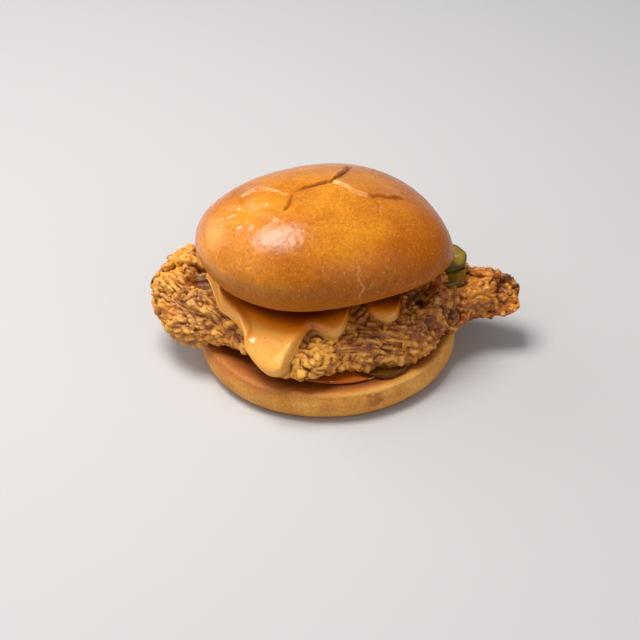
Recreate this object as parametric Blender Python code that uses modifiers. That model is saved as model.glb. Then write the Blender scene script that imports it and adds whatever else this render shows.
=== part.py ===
"""A fried chicken burger: a brioche crown and heel, a craggy chicken fillet that sticks out at both
sides, a sauce layer that runs down its front, a thin sauce layer on the heel, and pickle slices.

Metres, +Z up. The origin is the centre of the heel's flat underside. +X runs along the fillet, and -Y is
the side on which the sauce runs down. Run it with: blender --background --python part.py
"""

import math

import bmesh
import bpy
from mathutils import Matrix, Vector

# Driving dimensions.
BUN_RADIUS = 0.060
STACK_GAP = 0.0004
HEEL_HEIGHT = 0.0160
SAUCE_THICKNESS = 0.0022
BASE_SAUCE_THICKNESS = 0.0018
PICKLE_THICKNESS = 0.0026

# The crown: an ellipsoid dome, leaning back and to the right, over a lip that rolls under to the cut face.
CROWN_CENTRE = Vector((-0.0013, 0.0068, 0.0564))
CROWN_RADIUS = 1.067 * BUN_RADIUS
CROWN_DEPTH_RATIO = 0.796
CROWN_RISE = 0.0319
CROWN_LEAN_BACK = math.radians(-8.4)
CROWN_LEAN_SIDE = math.radians(5.25)
CROWN_CUT_SHARE = 0.50

# The cut face of the crown: its height over the origin and its rise to the right and to the back.
CUT_FACE_Z = 0.0435
CUT_FACE_RISE_X = 0.050
CUT_FACE_RISE_Y = 0.017

# The heel: its widest line, the flat it stands on and the cut edge, as shares of its radius.
HEEL_RADIUS = 1.037 * BUN_RADIUS
HEEL_BELT_Z = 0.0090
HEEL_FLAT_SHARE = 0.90
HEEL_CUT_SHARE = 0.965

# The fillet, station by station along X: its front and back edge in Y, its underside and its top in Z.
FILLET_STATIONS = (
    # x, front y, back y, underside z, top z
    (-0.0880, -0.0010, 0.0030, 0.0270, 0.0300),
    (-0.0800, -0.0100, 0.0190, 0.0195, 0.0400),
    (-0.0690, -0.0190, 0.0300, 0.0160, 0.0425),
    (-0.0560, -0.0260, 0.0320, 0.0188, 0.0405),
    (-0.0420, -0.0350, 0.0350, 0.0190, 0.0376),
    (-0.0250, -0.0505, 0.0390, 0.0188, 0.0380),
    (-0.0080, -0.0550, 0.0410, 0.0188, 0.0390),
    (0.0100, -0.0455, 0.0410, 0.0192, 0.0396),
    (0.0280, -0.0390, 0.0390, 0.0195, 0.0388),
    (0.0440, -0.0340, 0.0350, 0.0195, 0.0383),
    (0.0570, -0.0190, 0.0290, 0.0185, 0.0375),
    (0.0700, -0.0100, 0.0210, 0.0190, 0.0364),
    (0.0840, -0.0060, 0.0160, 0.0205, 0.0352),
    (0.0950, -0.0010, 0.0030, 0.0260, 0.0290),
)
FILLET_LEAN = 0.004
FILLET_LUMP = 0.0012
SECTION_TOP_POWER = 0.62
SECTION_BASE_POWER = 0.42

# The sauce over the fillet. Its back edge and its hem are angles round the fillet's section, in degrees
# from the back edge: 90 is the top and 180 the front edge. Each run lowers the hem round its own x.
SAUCE_START_X = -0.059
SAUCE_END_X = 0.037
SAUCE_END_ANGLE = 100.0
SAUCE_HEM_DROP = 20.0
SAUCE_BACK_ANGLE = 66.0
SAUCE_RUNS = (
    # x, half width, drop in degrees
    (-0.0460, 0.0090, 24.0),
    (-0.0265, 0.0120, 78.0),
    (0.0030, 0.0070, 29.0),
    (0.0255, 0.0065, 20.0),
)

# Pickle slices: name, centre, radius.
PICKLES = (
    ("pickle_heel", Vector((0.0250, -0.0355, 0.0177)), 0.0135),
    ("pickle_side_lower", Vector((0.0548, 0.0040, 0.03995)), 0.0122),
    ("pickle_side_upper", Vector((0.0560, 0.0115, 0.04295)), 0.0117),
)
BASE_SAUCE_CENTRE = Vector((0.002, -0.0065, HEEL_HEIGHT + STACK_GAP + BASE_SAUCE_THICKNESS / 2))
BASE_SAUCE_RADIUS = 0.0455

CRUST_GOLD = (0.56, 0.24, 0.045, 1.0)
CRUMB_TOAST = (0.52, 0.27, 0.08, 1.0)
BREADING_GOLD = (0.55, 0.27, 0.06, 1.0)
SAUCE_ORANGE = (0.75, 0.30, 0.045, 1.0)
PICKLE_OLIVE = (0.30, 0.28, 0.05, 1.0)


def clear_scene():
    for old in list(bpy.data.objects):
        bpy.data.objects.remove(old, do_unlink=True)


def make_material(name, colour, roughness):
    """A plain Principled BSDF in the part's colour."""
    material = bpy.data.materials.new(name)
    material.use_nodes = True
    shader = material.node_tree.nodes["Principled BSDF"]
    shader.inputs["Base Color"].default_value = colour
    shader.inputs["Roughness"].default_value = roughness
    shader.inputs["Metallic"].default_value = 0.0
    return material


def add_object(name, mesh, material, collection):
    made = bpy.data.objects.new(name, mesh)
    mesh.materials.append(material)
    mesh.shade_smooth()
    collection.objects.link(made)
    return made


def shaped_sphere(name, segments, rings, shape, poles="Z"):
    """A UV sphere whose every point moves to shape(unit direction). Its poles lie on the axis in poles."""
    form = bmesh.new()
    bmesh.ops.create_uvsphere(form, u_segments=segments, v_segments=rings, radius=1.0)
    if poles == "X":
        turn = Matrix.Rotation(math.radians(90), 3, "Y")
        bmesh.ops.rotate(form, cent=(0, 0, 0), matrix=turn, verts=form.verts)
    for vert in form.verts:
        vert.co = shape(vert.co.normalized())
    bmesh.ops.recalc_face_normals(form, faces=form.faces)
    mesh = bpy.data.meshes.new(name)
    form.to_mesh(mesh)
    form.free()
    return mesh


def smooth_step(x):
    x = min(max(x, 0.0), 1.0)
    return x * x * (3.0 - 2.0 * x)


def lip_turn(height, flat_from):
    """The angle of a lip's quarter round: 0 at the widest line, 90 degrees where the flat face begins."""
    return math.radians(90) * min(1.0, abs(height) / flat_from)


def face_share(height, flat_from):
    """How far out a point of the flat face lies: 1 at the face's edge and 0 at the pole."""
    reach = math.sqrt(max(0.0, 1.0 - height * height))
    return min(1.0, reach / math.sqrt(1.0 - flat_from * flat_from))


def crown_shape(direction):
    """Upper half: a leaning ellipsoid dome. Lower half: a lip that rolls under to the cut face."""
    angle = math.atan2(direction.y, direction.x)
    height = max(-1.0, min(1.0, direction.z))
    flat_from = math.sin(math.radians(45))
    swell = 1 - 0.053 * math.cos(2 * angle) + 0.075 * math.sin(2 * angle)
    swell -= 0.007 * math.cos(3 * angle) + 0.030 * math.sin(3 * angle) + 0.023 * math.sin(4 * angle)
    turn = lip_turn(height, flat_from)
    if height > 0:
        spread = math.sqrt(1.0 - height * height)
    else:
        spread = (1 - (1 - CROWN_CUT_SHARE) * (1 - math.cos(turn))) * face_share(height, flat_from)
    local = Vector(
        (
            CROWN_RADIUS * swell * spread * math.cos(angle),
            CROWN_RADIUS * CROWN_DEPTH_RATIO * swell * spread * math.sin(angle),
            CROWN_RISE * max(height, 0.0),
        )
    )
    lean = Matrix.Rotation(CROWN_LEAN_SIDE, 3, "Y") @ Matrix.Rotation(CROWN_LEAN_BACK, 3, "X")
    point = CROWN_CENTRE + lean @ local
    if height < 0:
        cut_z = CUT_FACE_Z + CUT_FACE_RISE_X * point.x + CUT_FACE_RISE_Y * point.y
        point.z += (cut_z - point.z) * math.sin(turn)
    return point


def heel_shape(direction):
    """A round with a flat underside, a foot that curves in to it, and a side that ends at the cut edge."""
    angle = math.atan2(direction.y, direction.x)
    height = direction.z
    swell = 1 + 0.016 * math.sin(2 * angle) - 0.010 * math.sin(3 * angle) + 0.005 * math.cos(2 * angle)
    if height > 0:
        flat_from = math.sin(math.radians(27))
        climb = min(1.0, height / flat_from)
        spread = (1 - (1 - HEEL_CUT_SHARE) * climb**2) * face_share(height, flat_from)
        z = HEEL_BELT_Z + (HEEL_HEIGHT - HEEL_BELT_Z) * climb
    else:
        flat_from = math.sin(math.radians(36))
        turn = lip_turn(height, flat_from)
        spread = (1 - (1 - HEEL_FLAT_SHARE) * (1 - math.cos(turn))) * face_share(height, flat_from)
        z = HEEL_BELT_Z * (1 - math.sin(turn))
    radius = HEEL_RADIUS * swell * spread
    return Vector((radius * math.cos(angle), radius * math.sin(angle), z))


def fillet_station(x):
    """Front y, back y, underside z and top z at x: a cubic between the stations, round at both tips."""
    stations = FILLET_STATIONS
    last = len(stations) - 2
    x = min(max(x, stations[0][0]), stations[-1][0])
    here = max(i for i in range(last + 1) if stations[i][0] <= x or i == 0)
    low, high = stations[here], stations[here + 1]
    span = high[0] - low[0]
    share = (x - low[0]) / span
    values = []
    for column in range(1, 5):
        if here == 0:
            value = low[column] + (high[column] - low[column]) * math.sqrt(share * (2 - share))
        elif here == last:
            value = high[column] + (low[column] - high[column]) * math.sqrt(max(0.0, 1 - share * share))
        else:
            before, after = stations[here - 1], stations[here + 2]
            slope_low = (high[column] - before[column]) / (high[0] - before[0])
            slope_high = (after[column] - low[column]) / (after[0] - low[0])
            value = (
                (2 * share**3 - 3 * share**2 + 1) * low[column]
                + (share**3 - 2 * share**2 + share) * span * slope_low
                + (3 * share**2 - 2 * share**3) * high[column]
                + (share**3 - share**2) * span * slope_high
            )
        values.append(value)
    return values


def signed_power(value, power):
    return math.copysign(abs(value) ** power, value)


def fillet_point(x, angle, grow=0.0):
    """The fillet's surface at x and at an angle round its section, grown outwards by grow."""
    front, back, low, high = fillet_station(x)
    across, up = math.cos(angle), math.sin(angle)
    power = SECTION_TOP_POWER if up > 0 else SECTION_BASE_POWER
    half_width = (back - front) / 2 + grow
    half_height = (high - low) / 2 + grow
    y = (front + back) / 2 + half_width * signed_power(across, power)
    z = (low + high) / 2 + half_height * signed_power(up, power)
    if across < 0:
        y += FILLET_LEAN * signed_power(up, power)
    lump = FILLET_LUMP * math.sin(90 * x) * math.sin(2 * angle + 60 * x)
    y += lump * across
    return Vector((x, y, z))


def fillet_shape(direction):
    """The unit sphere's X becomes the place along the fillet, and its turn about X the section's angle."""
    first, last = FILLET_STATIONS[0][0], FILLET_STATIONS[-1][0]
    along = max(-1.0, min(1.0, direction.x))
    x = first + (last - first) * (0.5 + along / 4 + math.asin(along) / (2 * math.pi))
    if abs(along) > 0.9999:
        front, back, low, high = fillet_station(x)
        return Vector((x, (front + back) / 2, (low + high) / 2))
    return fillet_point(x, math.atan2(direction.z, direction.y))


def sauce_ends(x):
    """1 along the sauce and 0 at its two ends."""
    return smooth_step((x - SAUCE_START_X) / 0.009) * smooth_step((SAUCE_END_X - x) / 0.006)


def sauce_hem(x):
    """How far round the section, in degrees, the sauce comes down at x: an even hem with its runs."""
    drop = SAUCE_HEM_DROP
    for centre, half_width, extra in SAUCE_RUNS:
        drop += extra * math.exp(-(((x - centre) / half_width) ** 4))
    return SAUCE_END_ANGLE + drop * sauce_ends(x)


def sauce_back(x):
    """Where the sauce ends under the crown: an even line that comes forward at both ends."""
    middle = (SAUCE_START_X + SAUCE_END_X) / 2
    reach = (x - middle) / (SAUCE_END_X - middle)
    return SAUCE_BACK_ANGLE + (SAUCE_END_ANGLE - 4 - SAUCE_BACK_ANGLE) * reach**4


def add_sauce_layer(material, collection):
    """An open sheet laid over the fillet's top and front, given its thickness by Solidify."""
    form = bmesh.new()
    bmesh.ops.create_grid(form, x_segments=40, y_segments=12, size=0.5)
    for vert in form.verts:
        x = SAUCE_START_X + (SAUCE_END_X - SAUCE_START_X) * (vert.co.x + 0.5)
        angle = sauce_back(x) + (sauce_hem(x) - sauce_back(x)) * (0.5 - vert.co.y)
        vert.co = fillet_point(x, math.radians(angle), 2 * STACK_GAP)
    bmesh.ops.recalc_face_normals(form, faces=form.faces)
    mesh = bpy.data.meshes.new("sauce_top")
    form.to_mesh(mesh)
    form.free()
    layer = add_object("sauce_top", mesh, material, collection)
    solidify = layer.modifiers.new("Thickness", "SOLIDIFY")
    solidify.thickness = SAUCE_THICKNESS
    solidify.offset = 1.0


def add_disc(name, centre, radius, thickness, material, collection, wobble, segments=32):
    """A round slice from a capped cylinder, with its rim waved by wobble and its edges bevelled."""
    form = bmesh.new()
    bmesh.ops.create_cone(
        form, cap_ends=True, segments=segments, radius1=radius, radius2=radius, depth=thickness
    )
    for vert in form.verts:
        wave = 1 + wobble(math.atan2(vert.co.y, vert.co.x))
        vert.co.x *= wave
        vert.co.y *= wave
    mesh = bpy.data.meshes.new(name)
    form.to_mesh(mesh)
    form.free()
    disc = add_object(name, mesh, material, collection)
    disc.location = centre
    bevel = disc.modifiers.new("Edge", "BEVEL")
    bevel.width = thickness / 5
    bevel.segments = 1
    return disc


def pickle_rim(angle):
    """The shallow scallops of a pickle's skin, as a share of its radius."""
    return 0.015 * math.sin(8 * angle)


def spread_rim(angle):
    """The uneven rim of the sauce spread on the heel, as a share of its radius."""
    return 0.02 * math.sin(3 * angle + 1.0) + 0.015 * math.cos(5 * angle)


def add_pickles(material, collection):
    for name, centre, radius in PICKLES:
        add_disc(name, centre, radius, PICKLE_THICKNESS, material, collection, pickle_rim)


def add_base_sauce(material, collection, cutters):
    """A thin spread on the heel, cut clear of the pickle slice that lies in it."""
    spread = add_disc(
        "sauce_heel",
        BASE_SAUCE_CENTRE,
        BASE_SAUCE_RADIUS,
        BASE_SAUCE_THICKNESS,
        material,
        collection,
        spread_rim,
        segments=48,
    )
    _, pickle_centre, radius = PICKLES[0]
    form = bmesh.new()
    bmesh.ops.create_cone(
        form, cap_ends=True, segments=32, radius1=radius + 0.001, radius2=radius + 0.001, depth=0.02
    )
    mesh = bpy.data.meshes.new("pickle_room")
    form.to_mesh(mesh)
    form.free()
    cutter = bpy.data.objects.new("pickle_room", mesh)
    cutter.location = pickle_centre
    cutter.hide_render = True
    cutter.display_type = "WIRE"
    cutters.objects.link(cutter)
    cut = spread.modifiers.new("Pickle room", "BOOLEAN")
    cut.operation = "DIFFERENCE"
    cut.solver = "EXACT"
    cut.object = cutter


def main():
    clear_scene()
    burger = bpy.data.collections.new("chicken_burger")
    cutters = bpy.data.collections.new("cutters")
    for collection in (burger, cutters):
        bpy.context.scene.collection.children.link(collection)

    crust = make_material("bun_crust", CRUST_GOLD, 0.3)
    toast = make_material("bun_side", CRUMB_TOAST, 0.6)
    breading = make_material("breading", BREADING_GOLD, 0.5)
    sauce = make_material("sauce", SAUCE_ORANGE, 0.2)
    pickle = make_material("pickle", PICKLE_OLIVE, 0.3)

    add_object("bun_crown", shaped_sphere("bun_crown", 44, 24, crown_shape), crust, burger)
    add_object("bun_heel", shaped_sphere("bun_heel", 44, 20, heel_shape), toast, burger)
    fillet = shaped_sphere("chicken_fillet", 48, 32, fillet_shape, poles="X")
    add_object("chicken_fillet", fillet, breading, burger)
    add_sauce_layer(sauce, burger)
    add_base_sauce(sauce, burger, cutters)
    add_pickles(pickle, burger)


main()
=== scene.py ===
# %% [markdown]
# # A fried chicken burger
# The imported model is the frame: it says where each layer of the burger lies and how big it is. This
# notebook replaces every plain solid of it with a detailed surface and gives each one a procedural
# material. All shapes are worked out in millimetres, because food is measured in millimetres, and are
# turned to metres in one place, when a mesh is made.

import math

import bpy
import numpy as np
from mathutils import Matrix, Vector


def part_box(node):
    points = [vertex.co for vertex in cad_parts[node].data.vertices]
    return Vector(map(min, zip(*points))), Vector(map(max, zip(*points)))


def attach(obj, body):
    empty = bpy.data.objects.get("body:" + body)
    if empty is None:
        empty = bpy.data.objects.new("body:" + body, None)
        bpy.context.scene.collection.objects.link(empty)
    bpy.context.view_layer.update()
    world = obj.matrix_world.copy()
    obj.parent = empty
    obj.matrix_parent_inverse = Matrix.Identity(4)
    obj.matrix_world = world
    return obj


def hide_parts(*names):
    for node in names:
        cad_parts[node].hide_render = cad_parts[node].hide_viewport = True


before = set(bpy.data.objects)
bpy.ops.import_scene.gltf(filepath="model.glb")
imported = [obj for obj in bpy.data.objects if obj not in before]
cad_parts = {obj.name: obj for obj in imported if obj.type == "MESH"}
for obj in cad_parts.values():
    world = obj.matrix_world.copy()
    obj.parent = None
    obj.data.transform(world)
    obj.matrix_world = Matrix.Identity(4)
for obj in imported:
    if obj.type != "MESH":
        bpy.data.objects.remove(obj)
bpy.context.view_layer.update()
MM = 0.001


# %% [markdown]
# ## The camera, the floor and the light
# The camera looks down on the burger by a little under 40 degrees through a long lens, which keeps the
# round bun round. The floor is a plain pale sheet. A softbox high up gives the broad shine on the crown
# and the small bright spots on the sauce. Three large ones, two on the left and one on the right, and a
# pale sky fill the shadows.

# %% Camera
CAMERA_TARGET = (-0.0042, 0.0, 0.0135)
CAMERA_DISTANCE = 0.765
CAMERA_ELEVATION = math.radians(38.1)
camera_data = bpy.data.cameras.new("camera")
camera_data.lens = 87.4
camera_data.sensor_width = 36.0
camera = bpy.data.objects.new("camera", camera_data)
camera.location = (
    CAMERA_TARGET[0],
    CAMERA_TARGET[1] - CAMERA_DISTANCE * math.cos(CAMERA_ELEVATION),
    CAMERA_TARGET[2] + CAMERA_DISTANCE * math.sin(CAMERA_ELEVATION),
)
camera.rotation_euler = (math.radians(90) - CAMERA_ELEVATION, 0.0, 0.0)
bpy.context.scene.collection.objects.link(camera)
bpy.context.scene.camera = camera
bpy.context.scene.view_settings.view_transform = "Standard"
print("camera at", [round(v, 3) for v in camera.location])


# %% Colours, and one helper that adds nodes
def rgba(colour):
    """The linear RGBA that Blender works in, from an sRGB hex colour such as "#D0822A", or from a number,
    which is a grey."""
    if not isinstance(colour, str):
        return (colour, colour, colour, 1.0)
    values = np.array([int(colour[i : i + 2], 16) for i in (1, 3, 5)]) / 255.0
    linear = np.where(values <= 0.04045, values / 12.92, ((values + 0.055) / 1.055) ** 2.4)
    return (*linear, 1.0)


def set_inputs(tree, node, inputs):
    """Fills a node's sockets, each named or numbered. A socket is linked, a node is linked by its first
    output in use, a hex colour becomes RGBA, and any other value is set as it is."""
    for name, value in inputs.items():
        if isinstance(value, bpy.types.Node):
            value = next(output for output in value.outputs if output.enabled)
        if isinstance(value, bpy.types.NodeSocket):
            tree.links.new(value, node.inputs[name])
        else:
            node.inputs[name].default_value = rgba(value) if isinstance(value, str) else value


def add(tree, kind, inputs=None, stops=None, **settings):
    """Adds one shader node. inputs fills its sockets, stops fills its colour ramp, and the rest are its
    own properties."""
    node = tree.nodes.new("ShaderNode" + kind)
    for name, value in settings.items():
        setattr(node, name, value)
    set_inputs(tree, node, inputs or {})
    if stops:
        ramp = node.color_ramp.elements
        while len(ramp) < len(stops):
            ramp.new(0.5)
        for element, (position, colour) in zip(ramp, stops):
            element.position = position
            element.color = rgba(colour)
    return node


def start_material(name):
    """A new material, its node tree, its shader, and the node that gives the place in millimetres."""
    material = bpy.data.materials.new(name)
    material.use_nodes = True
    tree = material.node_tree
    object_place = add(tree, "TexCoord").outputs["Object"]
    place_mm = add(tree, "VectorMath", {0: object_place, 1: (1000, 1000, 1000)}, operation="MULTIPLY")
    return material, tree, tree.nodes["Principled BSDF"], place_mm


print("#D0822A in linear RGB:", np.round(rgba("#D0822A")[:3], 3))


# %% Floor
def make_floor():
    """One large square of matte, neutral pale grey."""
    half = 3.0
    corners = [(-half, -half, 0), (half, -half, 0), (half, half, 0), (-half, half, 0)]
    mesh = bpy.data.meshes.new("floor")
    mesh.from_pydata(corners, [], [(0, 1, 2, 3)])
    floor = bpy.data.objects.new("floor", mesh)
    bpy.context.scene.collection.objects.link(floor)
    material = bpy.data.materials.new("matte white paper")
    material.use_nodes = True
    tree = material.node_tree
    set_inputs(tree, tree.nodes["Principled BSDF"], {"Base Color": "#BEBEC0", "Roughness": 0.9})
    mesh.materials.append(material)


make_floor()
print("floor: a square 6 m wide")


# %% Lights
def add_softbox(name, direction, distance, size, watts, colour):
    """A square area light that looks at the burger from a direction, at a distance in metres."""
    direction = np.array(direction) / np.linalg.norm(direction)
    light = bpy.data.lights.new(name, "AREA")
    light.shape = "SQUARE"
    light.size = size
    light.energy = watts
    light.color = rgba(colour)[:3]
    softbox = bpy.data.objects.new(name, light)
    softbox.location = direction * distance + np.array((0, 0, 0.04))
    yaw = math.atan2(direction[1], direction[0]) + math.radians(90)
    softbox.rotation_euler = (math.acos(direction[2]), 0.0, yaw)
    bpy.context.scene.collection.objects.link(softbox)


add_softbox("key", (-0.26, 0.03, 0.97), 0.9, 0.42, 9.5, "#FFFAF4")
add_softbox("left window", (-0.80, 0.42, 0.42), 1.2, 0.90, 5.0, "#FFFCF8")
add_softbox("left front", (-0.75, -0.45, 0.48), 1.3, 1.20, 3.2, "#FFFAF6")
add_softbox("right front", (0.70, -0.60, 0.42), 1.6, 1.60, 5.0, "#FFFAF6")

world = bpy.data.worlds.new("soft studio")
world.use_nodes = True
set_inputs(world.node_tree, world.node_tree.nodes["Background"], {"Color": "#F4F6FA", "Strength": 0.27})
bpy.context.scene.world = world
print("lights:", sorted(light.name for light in bpy.data.lights))

# %% [markdown]
# ## Noise as whole arrays
# Bread, breading and sauce are uneven at every size. Three kinds of noise give all of it. Smooth noise is
# a random number at each point of a lattice, blended between the points. Puffs are how far a noise lies
# from 0, so they are round on top and creased where it crosses 0. Cell noise scatters one seed in each
# lattice cube and finds the nearest two: the ratio of those two distances is 0 at a seed and 1 half way to
# its neighbour, which makes round nodules with sharp creases between them. All are computed for all points
# at once and hashed from the lattice, so they are the same on every run.


# %% Smooth noise
def lattice_random(cell, seed):
    """A repeatable random number from 0 to 1 for each whole-number lattice point of an (..., 3) array."""
    mixed = cell[..., 0] * 374761393 + cell[..., 1] * 668265263 + cell[..., 2] * 1440662683
    mixed = (mixed + seed * 1274126177) & 0xFFFFFFFF
    mixed = ((mixed ^ (mixed >> 13)) * 1274126177) & 0xFFFFFFFF
    mixed = ((mixed ^ (mixed >> 15)) * 1103515245) & 0xFFFFFFFF
    return ((mixed ^ (mixed >> 16)) & 0xFFFFFF) / 0xFFFFFF


def smooth_noise(points, size, seed):
    """Noise from -1 to 1 whose blobs are about size millimetres across: a smooth blend of eight lattice
    values."""
    scaled = points / size
    cell = np.floor(scaled).astype(np.int64)
    part = scaled - cell
    part = part * part * (3 - 2 * part)
    total = np.zeros(points.shape[:-1])
    for corner in np.ndindex(2, 2, 2):
        weight = np.prod(np.where(np.array(corner), part, 1 - part), axis=-1)
        total += weight * lattice_random(cell + np.array(corner), seed)
    return 2 * total - 1


def rough_noise(points, size, seed, octaves=3):
    """Smooth noise plus finer and weaker copies of itself, each half the size and half the height."""
    total = np.zeros(points.shape[:-1])
    for octave in range(octaves):
        total += smooth_noise(points, size / 2**octave, seed + octave) / 2**octave
    return total / (2 - 2 ** (1 - octaves))


def warp(points, size, amount, seed):
    """The points, each moved by up to amount millimetres, so that a pattern read there loses its grid."""
    shift = [smooth_noise(points, size, seed + axis) for axis in range(3)]
    return points + amount * np.stack(shift, axis=-1)


sample_line = np.linspace((0, 0, 0), (12, 0, 0), 5)
print("smooth noise along a line:", np.round(smooth_noise(sample_line, 6, 1), 2))


# %% Puffy noise
def gradient_noise(points, size, seed):
    """Noise from about -1 to 1 that is 0 at every lattice point, where it slopes in a random direction."""
    scaled = points / size
    cell = np.floor(scaled).astype(np.int64)
    part = scaled - cell
    blend = part * part * part * (part * (6 * part - 15) + 10)
    total = np.zeros(points.shape[:-1])
    for corner in np.ndindex(2, 2, 2):
        corner = np.array(corner)
        weight = np.prod(np.where(corner, blend, 1 - blend), axis=-1)
        slope = [2 * lattice_random(cell + corner, seed + 31 * axis) - 1 for axis in range(3)]
        total += weight * np.sum(np.stack(slope, axis=-1) * (part - corner), axis=-1)
    return 1.7 * total


def puffs(points, size, seed, roundness=0.65):
    """Puffy lumps that run into one another, 0 in the creases between them and about 1 on their tops:
    |gradient noise|^roundness."""
    return np.abs(gradient_noise(points, size, seed)) ** roundness


print("puffs along the same line:", np.round(puffs(sample_line, 6, 1), 2))


# %% Cell noise
def cell_noise(points, size, seed):
    """For seeds about size millimetres apart: the distance ratio (0 at a seed, 1 at a crease), the vector
    from the nearest seed to the point, and a random number that is the same all over one cell."""
    scaled = points / size
    cell = np.floor(scaled).astype(np.int64)
    nearest = np.full(points.shape[:-1], 9.0)
    second = np.full(points.shape[:-1], 9.0)
    away = np.zeros(points.shape)
    own = np.zeros(points.shape[:-1])
    for offset in np.ndindex(3, 3, 3):
        neighbour = cell + np.array(offset) - 1
        jitter = [lattice_random(neighbour, seed + 11 * axis + 1) for axis in range(3)]
        vector = scaled - neighbour - np.stack(jitter, axis=-1)
        distance = np.linalg.norm(vector, axis=-1)
        closer = distance < nearest
        second = np.where(closer, nearest, np.minimum(second, distance))
        nearest = np.where(closer, distance, nearest)
        away = np.where(closer[..., None], vector, away)
        own = np.where(closer, lattice_random(neighbour, seed + 77), own)
    return 2 * nearest / (nearest + second), away * size, own


print("cell noise along the same line:", np.round(cell_noise(sample_line, 6, 1)[0], 2))


# %% [markdown]
# ## From grid to mesh
# Every piece is a set of rings: an array of shape (rings, points round a ring, 3). Neighbouring rings are
# joined by quads and each end is closed by a fan to one point, so the mesh has no holes. If its volume
# comes out negative the rings run the wrong way round, and the faces are turned.


# %% Mesh maker
def closed_mesh(name, points, quads, triangles, material, attributes):
    """A piece from points in millimetres, its faces, and for each attribute a number at every point."""
    mesh = bpy.data.meshes.new(name)
    mesh.vertices.add(len(points))
    mesh.vertices.foreach_set("co", (points * MM).astype(np.float32).ravel())
    loops = np.concatenate([quads.ravel(), triangles.ravel()])
    mesh.loops.add(len(loops))
    mesh.loops.foreach_set("vertex_index", loops.astype(np.int32))
    mesh.polygons.add(len(quads) + len(triangles))
    starts = np.concatenate([np.arange(len(quads)) * 4, quads.size + np.arange(len(triangles)) * 3])
    mesh.polygons.foreach_set("loop_start", starts.astype(np.int32))
    mesh.update(calc_edges=True)
    mesh.shade_smooth()
    for label, values in attributes.items():
        layer = mesh.attributes.new(label, "FLOAT", "POINT")
        layer.data.foreach_set("value", values.astype(np.float32))
    mesh.materials.append(material)
    piece = bpy.data.objects.new(name, mesh)
    bpy.context.scene.collection.objects.link(piece)
    print(name, 2 * len(quads) + len(triangles), "triangles, size in mm", np.round(np.ptp(points, axis=0), 1))
    return piece


def ring_mesh(name, rings, material, attributes):
    """A closed mesh from rings in millimetres. attributes gives a number for each point of each ring."""
    count, around = rings.shape[:2]
    poles = np.stack([rings[0].mean(axis=0), rings[-1].mean(axis=0)])
    points = np.concatenate([rings.reshape(-1, 3), poles])
    row, column = np.meshgrid(np.arange(count - 1) * around, np.arange(around), indexing="ij")
    after = (column + 1) % around
    quads = np.stack([row + column, row + after, row + around + after, row + around + column], -1)
    quads = quads.reshape(-1, 4)
    turn = np.arange(around)
    next_turn = (turn + 1) % around
    last = (count - 1) * around
    first_fan = np.stack([next_turn, turn, np.full(around, count * around)], -1)
    last_fan = np.stack([last + turn, last + next_turn, np.full(around, count * around + 1)], -1)
    triangles = np.concatenate([first_fan, last_fan])
    a, b, c, d = (points[quads[:, i]] for i in range(4))
    volume = np.sum(a * np.cross(b, c)) + np.sum(a * np.cross(c, d))
    if volume < 0:
        quads = quads[:, ::-1]
        triangles = triangles[:, ::-1]
    marks = {
        label: np.append(values.ravel(), [values[0].mean(), values[-1].mean()])
        for label, values in attributes.items()
    }
    return closed_mesh(name, points, quads, triangles, material, marks)


def place(piece, node, slot):
    """The piece rides on the burger's one body and stands for its CAD node."""
    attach(piece, "root")
    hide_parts(node)


def ring_normals(rings):
    """Outward unit normals of a closed set of rings, from the differences between neighbours."""
    along = np.gradient(rings, axis=0)
    around = np.roll(rings, -1, axis=1) - np.roll(rings, 1, axis=1)
    normal = np.cross(around, along)
    normal /= np.maximum(np.linalg.norm(normal, axis=-1, keepdims=True), 1e-9)
    middle = rings.reshape(-1, 3).mean(axis=0)
    if np.sum(normal * (rings - middle)) < 0:
        normal = -normal
    return normal


def ease(value, low, high):
    """0 below low, 1 above high and a smooth S between them."""
    share = np.clip((value - low) / (high - low), 0, 1)
    return share * share * (3 - 2 * share)


def bell(value, width):
    """exp(-(value / width)^2): 1 at 0, about a third at the width and 0 far away."""
    return np.exp(-((value / width) ** 2))


def running_length(steps):
    """How far along its row each point lies, from the lengths of the steps between neighbours."""
    return np.pad(np.cumsum(steps, axis=1), ((0, 0), (1, 0)))


# %% [markdown]
# ## The crown
# The crown is a leaning dome over a lip that rolls under to a flat cut face. Baking leaves its marks on
# the dome: plates of crust that pulled apart along a few cracks, where one plate stands a little higher
# than the next, a wrinkled dimple, one thin pale fissure down the front, and very fine blisters. Each is a
# height added along the dome's normal, so all of it is real shape.

# %% The crown's form
BUN_RADIUS = 60.0
CROWN_CENTRE = np.array((-1.3, 6.8, 56.4))
CROWN_RADIUS = 1.067 * BUN_RADIUS
CROWN_DEPTH_RATIO = 0.796
CROWN_RISE = 31.9
CROWN_CUT_SHARE = 0.50
# degrees by which the crown leans down to the right and down to the back
CROWN_LEAN_RIGHT = 5.25
CROWN_LEAN_BACK = 8.4
# the cut face is the plane z = height + slope x + slope y
CROWN_CUT_PLANE = (43.5, 0.050, 0.017)
CROWN_COLUMNS = 470
# The crust's highest point stays at the CAD crown's: what passes the crest is pressed into a thin band.
CROWN_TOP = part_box("bun_crown")[1][2] / MM
CREST_BAND = 1.6
CREST = CROWN_TOP - CREST_BAND


def turn_about(axis, degrees):
    """The 3 x 3 matrix that turns a point about the x axis (axis 0) or the y axis (axis 1)."""
    cos, sin = math.cos(math.radians(degrees)), math.sin(math.radians(degrees))
    if axis == 0:
        return np.array(((1, 0, 0), (0, cos, -sin), (0, sin, cos)))
    return np.array(((cos, 0, sin), (0, 1, 0), (-sin, 0, cos)))


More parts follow.
